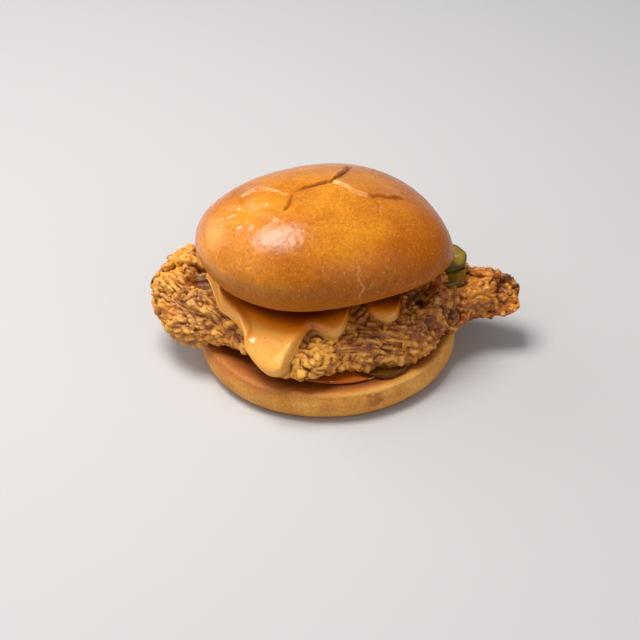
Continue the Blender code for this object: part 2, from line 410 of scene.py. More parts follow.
def crown_form(angle, spread, rise, roll):
    """Centre + lean (R s(a) w cos a, 0.8 R s(a) w sin a, H rise) for the angle a, the spread w and the
    swell s. A roll above 0 brings z down to the sloping cut face by sin(roll)."""
    angle, spread, rise, roll = np.broadcast_arrays(angle, spread, rise, roll)
    swell = 1 - 0.053 * np.cos(2 * angle) + 0.075 * np.sin(2 * angle)
    swell -= 0.007 * np.cos(3 * angle) + 0.030 * np.sin(3 * angle) + 0.023 * np.sin(4 * angle)
    across = CROWN_RADIUS * swell * spread * np.cos(angle)
    deep = CROWN_RADIUS * CROWN_DEPTH_RATIO * swell * spread * np.sin(angle)
    lean = turn_about(1, CROWN_LEAN_RIGHT) @ turn_about(0, -CROWN_LEAN_BACK)
    points = np.stack([across, deep, CROWN_RISE * rise], axis=-1) @ lean.T + CROWN_CENTRE
    cut_height, slope_x, slope_y = CROWN_CUT_PLANE
    cut_z = cut_height + slope_x * points[..., 0] + slope_y * points[..., 1]
    points[..., 2] += (cut_z - points[..., 2]) * np.sin(roll)
    return points


def crown_grid():
    """Rings from the top of the dome down to the widest line, round the lip, and in over the cut face."""
    dome = np.radians(np.linspace(89.5, 0, 126, endpoint=False))
    lip = np.radians(np.linspace(0, 90, 46))
    face = np.linspace(1, 0.03, 14)[1:]
    lip_spread = 1 - (1 - CROWN_CUT_SHARE) * (1 - np.cos(lip))
    spread = np.concatenate([np.cos(dome), lip_spread, CROWN_CUT_SHARE * face])
    rise = np.concatenate([np.sin(dome), np.zeros(len(lip) + len(face))])
    roll = np.concatenate([np.zeros(len(dome)), lip, np.full(len(face), math.radians(90))])
    angle = np.linspace(0, 2 * math.pi, CROWN_COLUMNS, endpoint=False)
    rings = crown_form(angle[None, :], spread[:, None], rise[:, None], roll[:, None])
    return rings, np.repeat(roll[:, None], CROWN_COLUMNS, axis=1)


# centre, radius, height of the slow swells that keep the bun from being a perfect dome
CROWN_SWELLS = (
    ((59, 2, 50), 9.0, 1.3),
    ((57, -20, 47), 9.0, -0.9),
    ((-60, 8, 60), 12.0, 0.7),
    ((-18, -42, 50), 18.0, 0.4),
)


def swells(points, forms):
    """The sum of height exp(-(distance / radius)^2) over the named swells and dents."""
    total = np.zeros(points.shape[:-1])
    for centre, radius, height in forms:
        distance = np.linalg.norm(points - np.array(centre, dtype=float), axis=-1)
        total += height * bell(distance, radius)
    return total


crown_rings, crown_roll = crown_grid()
print("crown rings:", crown_rings.shape)


# %% Cracks between plates of crust
def path_distance(across, along, path):
    """For points of the plane: the signed distance to a path (positive on its left), and how far along
    the path the nearest place lies, from 0 to 1."""
    path = np.array(path, dtype=float)
    steps = np.diff(path, axis=0)
    lengths = np.linalg.norm(steps, axis=1)
    best = np.full(across.shape, 1e6)
    signed = np.full(across.shape, 1e6)
    place = np.zeros(across.shape)
    for start, step, length, before in zip(path, steps, lengths, np.cumsum(lengths) - lengths):
        dx, dy = across - start[0], along - start[1]
        share = np.clip((dx * step[0] + dy * step[1]) / length**2, 0, 1)
        distance = np.hypot(dx - share * step[0], dy - share * step[1])
        side = np.sign(step[0] * dy - step[1] * dx)
        closer = distance < best
        best = np.where(closer, distance, best)
        signed = np.where(closer, distance * side, signed)
        place = np.where(closer, (before + share * length) / lengths.sum(), place)
    return signed, place


# name: (path from end to end in x and y, groove depth, groove half width, how much the left plate stands
# up, how strongly the plate's broken edge is painted pale, partly as pale dough and partly as a painted
# highlight, which also takes the painted crack shade away there)
CROWN_CRACKS = {
    "long crack": (
        [(11, 36), (10, 32), (7.6, 24), (5.8, 19.8), (3.6, 13), (0.7, 9.0), (-2.8, 8.1), (-6.9, 5.6),
         (-10.5, 4.0), (-13.5, 0.5), (-16.6, -3.8)],
        1.3, 0.65, -1.6, 0.0,
    ),
    "short branch": ([(-15.2, -1.8), (-16.6, -3.8), (-18.0, -10), (-20.6, -15.5)], 1.0, 0.7, -1.0, 0.0),
    "left plate edge": (
        [(-14.5, -2.2), (-19.9, -3.0), (-27, 0.8), (-34.9, 3.6), (-43, 2.0)], 0.2, 0.5, -1.7, 1.0,
    ),
    "right plate edge": (
        [(-0.5, 9.0), (3.5, 7.6), (8.7, 6.4), (11.9, 2.0), (18.5, 0.2), (21, 1.0)], 0.15, 0.5, 1.6, 1.0,
    ),
    "right ledge": ([(16, 1.0), (20, 0.8), (26.2, 3.0), (31, 5.4), (37, 8.0)], 0.5, 0.8, 1.1, 0.0),
    "fine crease": ([(-15, -4.5), (-11, -8.5), (-7, -12.5)], 0.2, 0.5, 0.35, 0.4),
    "right crease": ([(20, 0.8), (22.5, -4), (23.5, -9), (22.5, -14)], 0.15, 0.6, 0.3, 0.3),
}


def crack_height(points, path, depth, width, step):
    """The groove -depth exp(-(d/width)^2), and a plate that rises by step on the left of the crack (on the
    right if step is below 0) and sinks back to the dome as exp(-d / 6.5). Both fade out at the ends of the
    path. Also how near the groove each point lies, where the crust is painted darker as painted shade, and
    how near the plate's broken edge, which is painted pale as pale dough and a painted highlight."""
    wandering = warp(points, 4.0, 1.0, 31)
    signed, place = path_distance(wandering[..., 0], wandering[..., 1], path)
    fade = ease(place, 0.0, 0.15) * (1 - ease(place, 0.78, 1.0))
    groove = -depth * bell(signed, width) * fade
    onto_plate = np.sign(step) * signed
    side = ease(onto_plate, -0.5, 1.1)
    plate = abs(step) * side * np.exp(-np.clip(onto_plate, 0, None) / 6.5) * fade
    face = bell(onto_plate - 0.3, 0.60) * fade
    face = face * ease(smooth_noise(points, 3.0, 33), -0.7, 0.1)
    return groove + plate, bell(signed, 1.4 * width) * fade, face


print(len(CROWN_CRACKS), "cracks between the plates")


# %% The crown's relief
def crown_relief(points, roll):
    """The height of the crust over the plain dome, in mm, how near a crack each point lies, for the painted
    shade in the cracks, and how near the broken edge of a plate, for its pale paint and painted highlight."""
    on_dome = roll < 0.01
    height = 0.55 * rough_noise(points, 24, 3, 2) + 0.10 * rough_noise(points, 6, 5, 2)
    crack = np.zeros(height.shape)
    torn = np.zeros(height.shape)
    for path, depth, width, step, pale in CROWN_CRACKS.values():
        lift, mark, face = crack_height(points, path, depth, width, step)
        height += np.where(on_dome, lift, 0)
        crack = np.maximum(crack, np.where(on_dome, mark * (1 - pale), 0))
        torn = np.maximum(torn, np.where(on_dome, face * pale, 0))
    return height, crack, torn


DIMPLE_X, DIMPLE_Y = -38.0, -10.5
DIMPLE_DEPTH = 2.1


def wrinkled_dimple(points):
    """A hollow on the left of the dome, with folds of the skin that run in to it."""
    dx, dy = points[..., 0] - DIMPLE_X, points[..., 1] - DIMPLE_Y
    reach = np.exp(-((dx / 6.0) ** 2) - ((dy / 6.5) ** 2))
    ring = bell(np.hypot(dx, dy) - 9.5, 4.5)
    bearing = np.arctan2(dy, dx)
    wandering = 1.2 * smooth_noise(points, 6, 41)
    folds = np.sin(3.5 * bearing + wandering) ** 2
    fine = rough_noise(warp(points, 3, 1.0, 45), 2.6, 43, 2)
    near = np.exp(-((dx / 19.0) ** 2) - ((dy / 15.0) ** 2))
    upper = points[..., 2] > 60
    return np.where(upper, -DIMPLE_DEPTH * reach + 0.70 * ring * (folds - 0.5) + 0.15 * near * fine, 0)


# %% The pale fissure and the blisters
FISSURE = [(12.0, 76.5), (13.4, 71.5), (13.0, 67.5), (15.4, 63.6), (13.2, 60.0), (14.0, 56.0), (12.6, 51.5)]
FISSURE_BRANCHES = ([(15.0, 63.0), (17.6, 62.6), (20.6, 65.6)], [(13.4, 60.2), (9.5, 57.4), (8.0, 54.0)])


def front_fissure(points):
    """How near each point lies to the thin fissure on the front of the dome: 1 on it and 0 away."""
    wandering = warp(points, 2.6, 1.0, 51)
    across, up = wandering[..., 0], wandering[..., 2]
    mark = np.zeros(across.shape)
    for path, width, strength in [(FISSURE, 0.34, 1.0)] + [(b, 0.28, 0.6) for b in FISSURE_BRANCHES]:
        signed, place = path_distance(across, up, path)
        fade = ease(place, 0.0, 0.25) * (1 - ease(place, 0.8, 1.0))
        mark = np.maximum(mark, strength * fade * bell(signed, width))
    return np.where(points[..., 1] < 0, mark, 0)


def blisters(points, size, seed, share):
    """Small round bumps: one in each chosen cell, as a share of all cells, from 0 to 1 high."""
    _, away, own = cell_noise(points, size, seed)
    radius = np.linalg.norm(away, axis=-1) / (0.33 * size)
    return np.where(own < share, np.clip(1 - radius**2, 0, None), 0)


def make_crown_rings():
    """The plain rings moved along their normals by all the relief, and what the material reads."""
    normal = ring_normals(crown_rings)
    relief, crack, torn = crown_relief(crown_rings, crown_roll)
    fissure = front_fissure(crown_rings)
    lip = np.sin(crown_roll)
    dome = 1 - lip
    relief = relief * (1 - 0.8 * lip) + wrinkled_dimple(crown_rings) * dome
    relief += swells(crown_rings, CROWN_SWELLS)
    relief += dome * (0.16 * blisters(crown_rings, 2.6, 61, 0.5) + 0.10 * fissure - 0.25 * fissure**4)
    fine = rough_noise(warp(crown_rings, 3.0, 0.8, 71), 2.2, 73, 2)
    relief += 0.075 * fine * (0.4 + dome)
    skin = crown_rings + normal * relief[..., None]
    over = np.clip(skin[..., 2] - CREST, 0, None)
    skin[..., 2] = np.where(over > 0, CREST + CREST_BAND * np.tanh(over / CREST_BAND), skin[..., 2])
    return skin, {"crack": crack, "fissure": fissure, "torn": torn, "lip": lip}


crown_skin, crown_marks = make_crown_rings()
print("crown relief:", round(float(np.ptp(crown_skin[..., 2])), 1), "mm tall")

# %% [markdown]
# An egg-washed crust is a brown skin under a thin clear glaze. The colour comes from where the oven's heat
# reached: deep golden brown on top and at the sides, and a paler matte band at the lip, where the bun sat
# low. Painted shade darkens it lower down and towards the right, towards the back, and in the cracks, and
# the broken edges of the plates are painted pale, partly as pale dough and partly as a painted highlight.
# Tiny light blisters and darker pores dust all of it. The glaze is a coat over a rougher skin, which gives
# one sharp and one soft shine.


# %% Crust material
def crust_material():
    """Egg-washed brioche crust: baked brown, glazed with a brush before baking."""
    material, tree, shader, at = start_material("glazed brioche crust")
    broad = add(tree, "TexNoise", {"Vector": at, "Scale": 1 / 26, "Detail": 3.0})
    colour = add(tree, "ValToRGB", {"Fac": broad}, [(0.34, "#AE600A"), (0.50, "#C4730E"), (0.68, "#D48818")])
    axes = add(tree, "SeparateXYZ", {"Vector": at})
    # Painted shade: the crust is darkened lower down and towards the right, where less light falls. The same
    # mask also thins the glaze lower down.
    leaning = {0: axes.outputs["X"], 1: -0.20, 2: axes.outputs["Z"]}
    fall = {"Value": add(tree, "Math", leaning, operation="MULTIPLY_ADD"), "From Min": 84.0, "From Max": 54.0}
    low_down = add(tree, "MapRange", fall, interpolation_type="SMOOTHSTEP")
    # Painted shade: the crust is darkened towards the back of the dome.
    backward = {"Value": axes.outputs["Y"], "From Min": 2.0, "From Max": 40.0, "To Max": 0.5}
    far_side = add(tree, "MapRange", backward, interpolation_type="SMOOTHSTEP")
    mottle = add(tree, "TexNoise", {"Vector": at, "Scale": 1 / 1.6, "Detail": 3.0, "Roughness": 0.65})
    specks = add(tree, "ValToRGB", {"Fac": mottle}, [(0.30, 0.84), (0.50, 1.0), (0.72, 1.14)])
    squeezed = add(tree, "VectorMath", {0: at, 1: (1.0, 1.0, 0.22)}, operation="MULTIPLY")
    strokes = add(tree, "TexNoise", {"Vector": squeezed, "Scale": 1 / 1.1, "Detail": 2.0})
    streaks = add(tree, "ValToRGB", {"Fac": strokes}, [(0.32, 0.84), (0.50, 1.0), (0.70, 1.12)])
    cells = add(tree, "TexVoronoi", {"Vector": at, "Scale": 1 / 2.3, "Randomness": 1.0})
    dots = add(tree, "ValToRGB", {"Fac": cells}, [(0.10, 0.45), (0.24, 0.0)])
    lip = add(tree, "Attribute", attribute_name="lip").outputs["Fac"]
    pale_lip = add(tree, "MapRange", {"Value": lip, "From Min": 0.15, "From Max": 0.8, "To Max": 0.8})
    layers = [
        (low_down, "#AC5A00", "MIX"),
        (far_side, "#A86212", "MIX"),
        (1.0, specks, "MULTIPLY"),
        (1.0, streaks, "MULTIPLY"),
        (dots, "#E8A23C", "MIX"),
        (pale_lip, "#BE7C30", "MIX"),
    ]
    # Painted shade darkens the cracks. The broken plate edges are painted pale, partly as pale dough and
    # partly as a painted highlight. The fissure is pale crumb.
    marks = (("crack", 0.75, "#8E4602"), ("fissure", 0.7, "#E2A25C"), ("torn", 0.42, "#F0BC78"))
    for mark, strength, layer in marks:
        value = add(tree, "Attribute", attribute_name=mark).outputs["Fac"]
        layers.append((add(tree, "Math", {0: value, 1: strength}, operation="MULTIPLY"), layer, "MIX"))
    for share, layer, blend in layers:
        colour = add(tree, "Mix", {0: share, 6: colour, 7: layer}, data_type="RGBA", blend_type=blend)
    glaze = add(tree, "MapRange", {"Value": lip, "From Max": 0.25, "To Min": 0.6, "To Max": 0.0})
    unglazed = add(tree, "Math", {0: low_down, 1: -0.75, 2: 1.0}, operation="MULTIPLY_ADD")
    pores = add(tree, "TexNoise", {"Vector": at, "Scale": 1 / 0.8, "Detail": 2.0})
    bump = add(tree, "Bump", {"Height": pores, "Strength": 0.35, "Distance": 0.00025})
    looks = {
        "Base Color": colour,
        "Roughness": add(tree, "MapRange", {"Value": lip, "From Max": 0.7, "To Min": 0.34, "To Max": 0.62}),
        "Coat Weight": add(tree, "Math", {0: glaze, 1: unglazed}, operation="MULTIPLY"),
        "Coat Roughness": 0.22,
        "Specular IOR Level": 0.12,
        "Subsurface Weight": 0.08,
        "Subsurface Radius": (1.0, 0.5, 0.2),
        "Subsurface Scale": 0.0015,
        "Normal": bump,
        "Coat Normal": bump,
    }
    set_inputs(tree, shader, looks)
    return material


# %% Place the crown
crown = ring_mesh("brioche_crown", crown_skin, crust_material(), crown_marks)
place(crown, "bun_crown", "crust")

# %% [markdown]
# ## The heel
# The heel is the cut lower half of the bun. Its side is smooth, dry and golden; its edge at the cut is
# softly rounded, with a thin pale line where the knife broke the crust, and its cut face is toasted crumb,
# darker further in from the rim. It stands on a foot that curves in.

# %% The heel's form
HEEL_RADIUS = 1.037 * BUN_RADIUS
HEEL_HEIGHT = 16.0
HEEL_BELT = 9.0
HEEL_CUT_SHARE = 0.965
HEEL_FLAT_SHARE = 0.90
HEEL_COLUMNS = 420
# the rounded rim starts at this share of the radius and drops this far
HEEL_RIM_SHARE = 0.935
HEEL_RIM_DROP = 2.0


def heel_grid():
    """Rings from the middle of the cut face out to its rim, round the rim as a quarter ellipse, down the
    side, round the foot and in under the heel. swell = 1 + 0.016 sin 2a - 0.010 sin 3a + 0.005 cos 2a.
    Also gives how far each ring lies from the rim's middle, measured along the skin, above 0 on the face."""
    face = np.linspace(0.02, HEEL_RIM_SHARE, 42)
    bend = np.radians(np.linspace(0, 90, 15))[1:]
    rim_climb = 1 - HEEL_RIM_DROP / (HEEL_HEIGHT - HEEL_BELT)
    climb = np.linspace(rim_climb, 0, 20)[1:]
    turn = np.radians(np.linspace(0, 90, 24))[1:]
    base = np.linspace(1, 0.02, 10)[1:]
    rim_share = 1 - (1 - HEEL_CUT_SHARE) * rim_climb**2
    rim_spread = HEEL_RIM_SHARE + (rim_share - HEEL_RIM_SHARE) * np.sin(bend)
    side_spread = 1 - (1 - HEEL_CUT_SHARE) * climb**2
    foot_spread = 1 - (1 - HEEL_FLAT_SHARE) * (1 - np.cos(turn))
    spread = np.concatenate([face, rim_spread, side_spread, foot_spread, HEEL_FLAT_SHARE * base])
    rim_z = HEEL_HEIGHT - HEEL_RIM_DROP * (1 - np.cos(bend))
    side_z = HEEL_BELT + (HEEL_HEIGHT - HEEL_BELT) * climb
    foot_z = HEEL_BELT * (1 - np.sin(turn))
    z = np.concatenate([np.full(len(face), HEEL_HEIGHT), rim_z, side_z, foot_z, np.zeros(len(base))])
    run = np.concatenate([[0], np.cumsum(np.hypot(HEEL_RADIUS * np.diff(spread), np.diff(z)))])
    from_rim = run[len(face) + len(bend) // 2] - run
    angle = np.linspace(0, 2 * math.pi, HEEL_COLUMNS, endpoint=False)
    swell = 1 + 0.016 * np.sin(2 * angle) - 0.010 * np.sin(3 * angle) + 0.005 * np.cos(2 * angle)
    radius = HEEL_RADIUS * swell[None, :] * spread[:, None]
    z, from_rim, share = (np.repeat(values[:, None], HEEL_COLUMNS, 1) for values in (z, from_rim, spread))
    return np.stack([radius * np.cos(angle), radius * np.sin(angle), z], -1), from_rim, share


def make_heel_rings():
    """The plain heel with its dimpled side and the open crumb of its cut face. The toasted brown starts
    about 4 mm down the side on the left and 3 mm in on the face on the right."""
    rings, from_rim, share = heel_grid()
    normal = ring_normals(rings)
    edge = bell(from_rim, 1.2)
    side = ease(-from_rim, -2.0, 2.0) * (rings[..., 2] > 0.5)
    relief = -0.25 + side * (0.30 * rough_noise(rings, 17, 81, 2) + 0.07 * rough_noise(rings, 2.4, 83, 2))
    crumb = cell_noise(warp(rings, 3, 1.0, 91), 2.1, 87)[0]
    on_face = ease(from_rim, 1.5, 5.0)
    relief += on_face * (0.25 * rough_noise(rings, 9, 85, 2) - 0.35 * ease(crumb, 0.55, 0.15))
    slant = 3.4 * np.clip(-rings[..., 0] / 34, -1, 1) + 1.6 * rough_noise(rings, 11, 89, 2)
    toast = ease(from_rim + slant, -4.0, 3.2) * (rings[..., 2] > 2)
    rings = rings + normal * relief[..., None]
    rings[..., 2] = np.clip(rings[..., 2], 0, HEEL_HEIGHT - 0.05)
    nearly_flat = (rings[..., 2] < 0.35) & (share < 0.93)
    rings[..., 2] = np.where(nearly_flat, 0, rings[..., 2])
    bearing = np.arctan2(rings[..., 1], rings[..., 0])
    pale = edge * bell(bearing + 0.95, 0.60)
    return rings, {"toast": toast, "cut_edge": pale, "soaked": ease(from_rim, 1.0, 8.0)}


heel_skin, heel_marks = make_heel_rings()
print("heel rings:", heel_skin.shape)


# %% Heel material
def heel_material():
    """Unglazed bun side: dry golden tan, with one browner spot, toasted on the cut face."""
    material, tree, shader, at = start_material("toasted bun heel")
    broad = add(tree, "TexNoise", {"Vector": at, "Scale": 1 / 14, "Detail": 4.0})
    colour = add(tree, "ValToRGB", {"Fac": broad}, [(0.32, "#C87E2A"), (0.50, "#DA943A"), (0.70, "#E4AA4E")])
    fine = add(tree, "TexNoise", {"Vector": at, "Scale": 1 / 1.3, "Detail": 3.0, "Roughness": 0.6})
    grain = add(tree, "ValToRGB", {"Fac": fine}, [(0.30, 0.80), (0.50, 1.0), (0.70, 1.18)])
    from_spot = add(tree, "VectorMath", {0: at, 1: (22.0, -58.0, 11.0)}, operation="DISTANCE")
    uneven = add(tree, "TexNoise", {"Vector": at, "Scale": 1 / 3.2, "Detail": 3.0})
    wobble = add(tree, "Math", {0: uneven, 1: 9.0, 2: -4.5}, operation="MULTIPLY_ADD")
    spot_edge = add(tree, "Math", {0: from_spot.outputs["Value"], 1: wobble}, operation="ADD")
    inward = {"Value": spot_edge, "From Min": 5.2, "From Max": 2.4, "To Max": 0.8}
    spot = add(tree, "MapRange", inward, interpolation_type="SMOOTHSTEP")
    names = ("toast", "soaked", "cut_edge")
    browned, soaked, edge = (add(tree, "Attribute", attribute_name=name).outputs["Fac"] for name in names)
    some_edge = add(tree, "Math", {0: edge, 1: 0.6}, operation="MULTIPLY")
    # The cut face is darker further in from the rim.
    toast = add(tree, "Mix", {0: soaked, 6: "#B46C2A", 7: "#7C3808"}, data_type="RGBA")
    toasted = add(tree, "Mix", {0: 1.0, 6: toast, 7: grain}, data_type="RGBA", blend_type="MULTIPLY")
    layers = (
        (1.0, grain, "MULTIPLY"),
        (spot, "#A5581E", "MIX"),
        (browned, toasted, "MIX"),
        (some_edge, "#DCA85C", "MIX"),
    )
    for share, layer, blend in layers:
        colour = add(tree, "Mix", {0: share, 6: colour, 7: layer}, data_type="RGBA", blend_type=blend)
    bump = add(tree, "Bump", {"Height": fine, "Strength": 0.4, "Distance": 0.0003})
    looks = {"Base Color": colour, "Roughness": 0.58, "Specular IOR Level": 0.35, "Normal": bump}
    set_inputs(tree, shader, looks)
    return material


heel = ring_mesh("brioche_heel", heel_skin, heel_material(), heel_marks)
place(heel, "bun_heel", "bread")

# %% [markdown]
# ## The fried fillet
# A buttermilk-dredged fillet fries into a crust of knobs, flakes and folds with deep dark gaps between
# them. The plain fillet is a superellipse section swept through a few stations along x. Its crust is
# built in layers: large lobes, knobs a few millimetres wide, crumbs a millimetre or two wide, and folds
# that run along the fillet where the batter slid. Loose knobs are scattered on top afterwards, because a
# height alone can't make an overhang.

# %% The plain fillet
# x, front y, back y, underside z, top z
FILLET_STATIONS = np.array(
    (
        (-88, -1, 3, 27, 30),
        (-80, -10, 19, 19.5, 40),
        (-69, -19, 30, 16, 42.5),
        (-56, -26, 32, 18.8, 40.5),
        (-42, -35, 35, 19, 37.6),
        (-25, -50.5, 39, 18.8, 38),
        (-8, -55, 41, 18.8, 39),
        (10, -45.5, 41, 19.2, 39.6),
        (28, -39, 39, 19.5, 38.8),
        (44, -34, 35, 19.5, 38.3),
        (57, -19, 29, 18.5, 37.5),
        (70, -10, 21, 19, 36.4),
        (84, -6, 16, 20.5, 35.2),
        (95, -1, 3, 26, 29),
    ),
    dtype=float,
)


def fillet_section(x):
    """Front y, back y, underside z and top z at x: a cubic between the stations, a quarter round at each
    tip: low + (high - low) sqrt(s (2 - s)) and high + (low - high) sqrt(1 - s^2)."""
    stations = FILLET_STATIONS
    slopes = np.zeros(stations.shape)
    slopes[1:-1] = (stations[2:] - stations[:-2]) / (stations[2:, :1] - stations[:-2, :1])
    x = np.clip(x, stations[0, 0], stations[-1, 0])
    here = np.clip(np.searchsorted(stations[:, 0], x, side="right") - 1, 0, len(stations) - 2)
    low, high = stations[here], stations[here + 1]
    span = (high - low)[..., :1]
    s = (x[..., None] - low[..., :1]) / span
    section = (2 * s**3 - 3 * s**2 + 1) * low + (s**3 - 2 * s**2 + s) * span * slopes[here]
    section += (3 * s**2 - 2 * s**3) * high + (s**3 - s**2) * span * slopes[here + 1]
    opening = low + (high - low) * np.sqrt(np.clip(s * (2 - s), 0, 1))
    closing = high + (low - high) * np.sqrt(np.clip(1 - s**2, 0, 1))
    section = np.where((here == 0)[..., None], opening, section)
    section = np.where((here == len(stations) - 2)[..., None], closing, section)
    return np.moveaxis(section, -1, 0)[1:]


def signed_power(value, power):
    """|value|^power with the sign of the value."""
    return np.sign(value) * np.abs(value) ** power


def fillet_form(x, angle, grow=0.0):
    """The fillet's plain surface: y = middle + w |cos a|^p, z = middle + h |sin a|^p with p = 0.62 above
    and 0.42 below, leaning forward at its foot. An angle of 90 degrees is the top and 180 the front."""
    x, angle = np.broadcast_arrays(x, angle)
    front, back, low, high = fillet_section(x)
    across, up = np.cos(angle), np.sin(angle)
    power = np.where(up > 0, 0.62, 0.42)
    y = (front + back) / 2 + ((back - front) / 2 + grow) * signed_power(across, power)
    z = (low + high) / 2 + ((high - low) / 2 + grow) * signed_power(up, power)
    y += np.where(across < 0, 4.0 * signed_power(up, power), 0)
    y += 1.2 * np.sin(0.09 * x) * np.sin(2 * angle + 0.06 * x) * across
    return np.stack([x, y, z], axis=-1)


print("front, back, underside and top at x = 0:", np.round(np.ravel(fillet_section(np.zeros(1))), 1))


# %% Where the sauce lies on the fillet
SAUCE_START, SAUCE_END = -59.0, 37.0
SAUCE_END_ANGLE = 100.0
# x, half width, power, how many degrees further round the fillet the sauce runs there
SAUCE_RUNS = (
    (-46, 11, 3.5, 22),
    (-24, 9.7, 2.5, 70),
    (-35, 7, 1.8, 35),
    (4.6, 8.8, 2.2, 28),
    (12.3, 4.7, 2.6, -26),
    (28.0, 8.2, 2.0, 21),
)


def sauce_ends(x):
    """1 along the sauce and 0 at its two ends."""
    return ease(x, SAUCE_START, SAUCE_START + 9) * ease(-x, -SAUCE_END, -SAUCE_END + 6)


def sauce_hem(x):
    """How far round the fillet, in degrees, the sauce comes down at x: an even hem, and its runs, each of
    extra exp(-(|x - c| / w)^p)."""
    drop = np.full(np.shape(x), 20.0)
    for centre, half_width, power, extra in SAUCE_RUNS:
        drop = drop + extra * np.exp(-((np.abs(x - centre) / half_width) ** power))
    return SAUCE_END_ANGLE + drop * sauce_ends(x)


def sauce_back(x):
    """Where the sauce ends under the crown: an even line that comes forward at both ends."""
    middle = (SAUCE_START + SAUCE_END) / 2
    reach = (x - middle) / (SAUCE_END - middle)
    return 66.0 + 30.0 * reach**4


def under_sauce(x, angle):
    """1 where the crust is under the sauce, 0 away from it, with a soft edge 6 degrees wide."""
    degrees = np.degrees(angle) % 360
    inside = ease(sauce_hem(x) - degrees, -4.0, 3.0) * ease(degrees - sauce_back(x), -8.0, 0.0)
    return inside * ease(x, SAUCE_START - 1, SAUCE_START + 2) * ease(-x, -SAUCE_END - 1, -SAUCE_END + 2)


print("the long run comes down to", round(float(sauce_hem(-24.0)), 1), "degrees round the fillet")


# %% A grid that is fine where the crust shows
FILLET_ALONG, FILLET_AROUND = 322, 306
# The crust's core is a little shorter than the fillet, to leave room for the crust at its tips.
CORE_SHARE = 0.972
FILLET_MIDDLE = 3.5
TIP_MARGIN = 0.1
TIP_BAND = 2.0


def fillet_grid():
    """x and angle for every point. Along x the steps follow the fillet's outline, which closes the round
    tips. Round each ring they follow the ring's length times a weight: 1 at the front and on the two ends
    that stick out of the bun, less on what lies between the bun's halves."""
    first, last = FILLET_STATIONS[0, 0], FILLET_STATIONS[-1, 0]
    close_x = first + (last - first) * (0.5 - 0.5 * np.cos(np.linspace(0.004, math.pi - 0.004, 4001)))
    front_y, back_y, low_z, high_z = fillet_section(close_x)
    outline = np.stack([close_x, (back_y - front_y) / 2, (high_z - low_z) / 2], -1)
    outline_run = np.concatenate([[0], np.cumsum(np.linalg.norm(np.diff(outline, axis=0), axis=1))])
    x = np.interp(np.linspace(0, outline_run[-1], FILLET_ALONG), outline_run, close_x)
    fine = np.radians(np.linspace(0, 360, 1441))
    ring = fillet_form(x[:, None], fine[None, :])
    steps = np.linalg.norm(np.diff(ring, axis=1), axis=-1)
    middle = (fine[1:] + fine[:-1]) / 2
    front = ease(-np.cos(middle), 0.0, 0.5) * ease(np.sin(middle), -0.995, -0.9)
    back = ease(np.cos(middle), 0.3, 0.8) * ease(np.sin(middle), -0.995, -0.9)
    stuck_out = ease(np.abs(x + 2) - 48, -8, 8)
    weight = 0.30 + 0.75 * front[None, :] + 0.25 * back[None, :] + 0.6 * stuck_out[:, None]
    run = running_length(steps * weight)
    goals = np.linspace(0, 1, FILLET_AROUND, endpoint=False)
    angle = np.stack([np.interp(goals * row[-1], row, fine) for row in run])
    return np.repeat(x[:, None], FILLET_AROUND, axis=1), angle


fillet_x, fillet_angle = fillet_grid()
plain_fillet = fillet_form(fillet_x, fillet_angle)
plain_fillet[..., 0] = FILLET_MIDDLE + (plain_fillet[..., 0] - FILLET_MIDDLE) * CORE_SHARE
plain_normal = ring_normals(plain_fillet)
print("fillet rings:", plain_fillet.shape)

# %% [markdown]
# The crust's layers are added up as one height. Named dents and lobes set the large forms: the dark hollow
# where the fillet goes under the crown on the left, the lobe behind it, the ridge beside the sauce, and
# the holes on the right.


# %% Named dents and lobes
# centre, radius, height (below 0 for a dent)
FILLET_FORMS = (
    ((-60.5, -4.5, 42), 5.0, -5.0),
    ((-63.5, 3.0, 43), 4.5, -3.5),
    ((-71.0, 13.0, 43), 7.0, 2.6),
    ((-66.0, 19.0, 42), 6.0, 1.6),
    ((-82.0, -3.0, 38), 4.0, 1.2),
    ((-69.5, -13.5, 39), 4.2, -2.2),
    ((-61.0, -14.0, 40), 4.0, 2.0),
    ((-54.0, -22.5, 38), 4.0, 1.8),
    ((-47.0, -30.0, 34), 4.0, 1.6),
    ((-73.0, -15.0, 19), 9.0, 4.6),
    ((-61.0, -23.0, 20), 8.0, 3.0),
    ((43.0, -13.5, 39), 4.0, -5.0),
    ((38.0, -24.0, 38), 3.0, -2.5),
    ((52.5, -3.0, 38.5), 5.4, 8.6),
    ((50.5, -11.5, 38), 3.8, 3.4),
    ((57.0, -10.5, 37.5), 4.0, 3.4),
    ((62.5, -7.5, 37), 3.4, 2.4),
    ((48.0, -18.5, 37), 3.5, 2.6),
    ((61.0, -16.0, 28), 3.5, -3.5),
    ((82.5, 0.0, 35.5), 3.0, -2.8),
    ((50.0, -26.0, 32), 4.0, -3.4),
    ((35.0, -39.0, 25.0), 4.0, -3.2),
    ((-12.0, -44.0, 39), 5.0, -2.5),
    ((14.0, -38.0, 38), 4.5, -3.0),
    ((70.0, -9.0, 34), 6.0, 2.4),
    ((64.0, 6.0, 37), 6.0, 1.6),
    ((78.0, -8.0, 30), 5.0, 1.6),
    ((76.0, -6.5, 22), 4.5, -2.6),
    ((88.0, 1.0, 36.5), 5.5, -3.4),
    ((89.0, -4.0, 24.5), 4.0, -1.8),
    ((34.0, -37.0, 20), 9.0, 6.6),
    ((16.0, -43.0, 20), 8.0, 3.8),
    ((47.0, -30.0, 23), 6.0, 2.8),
)
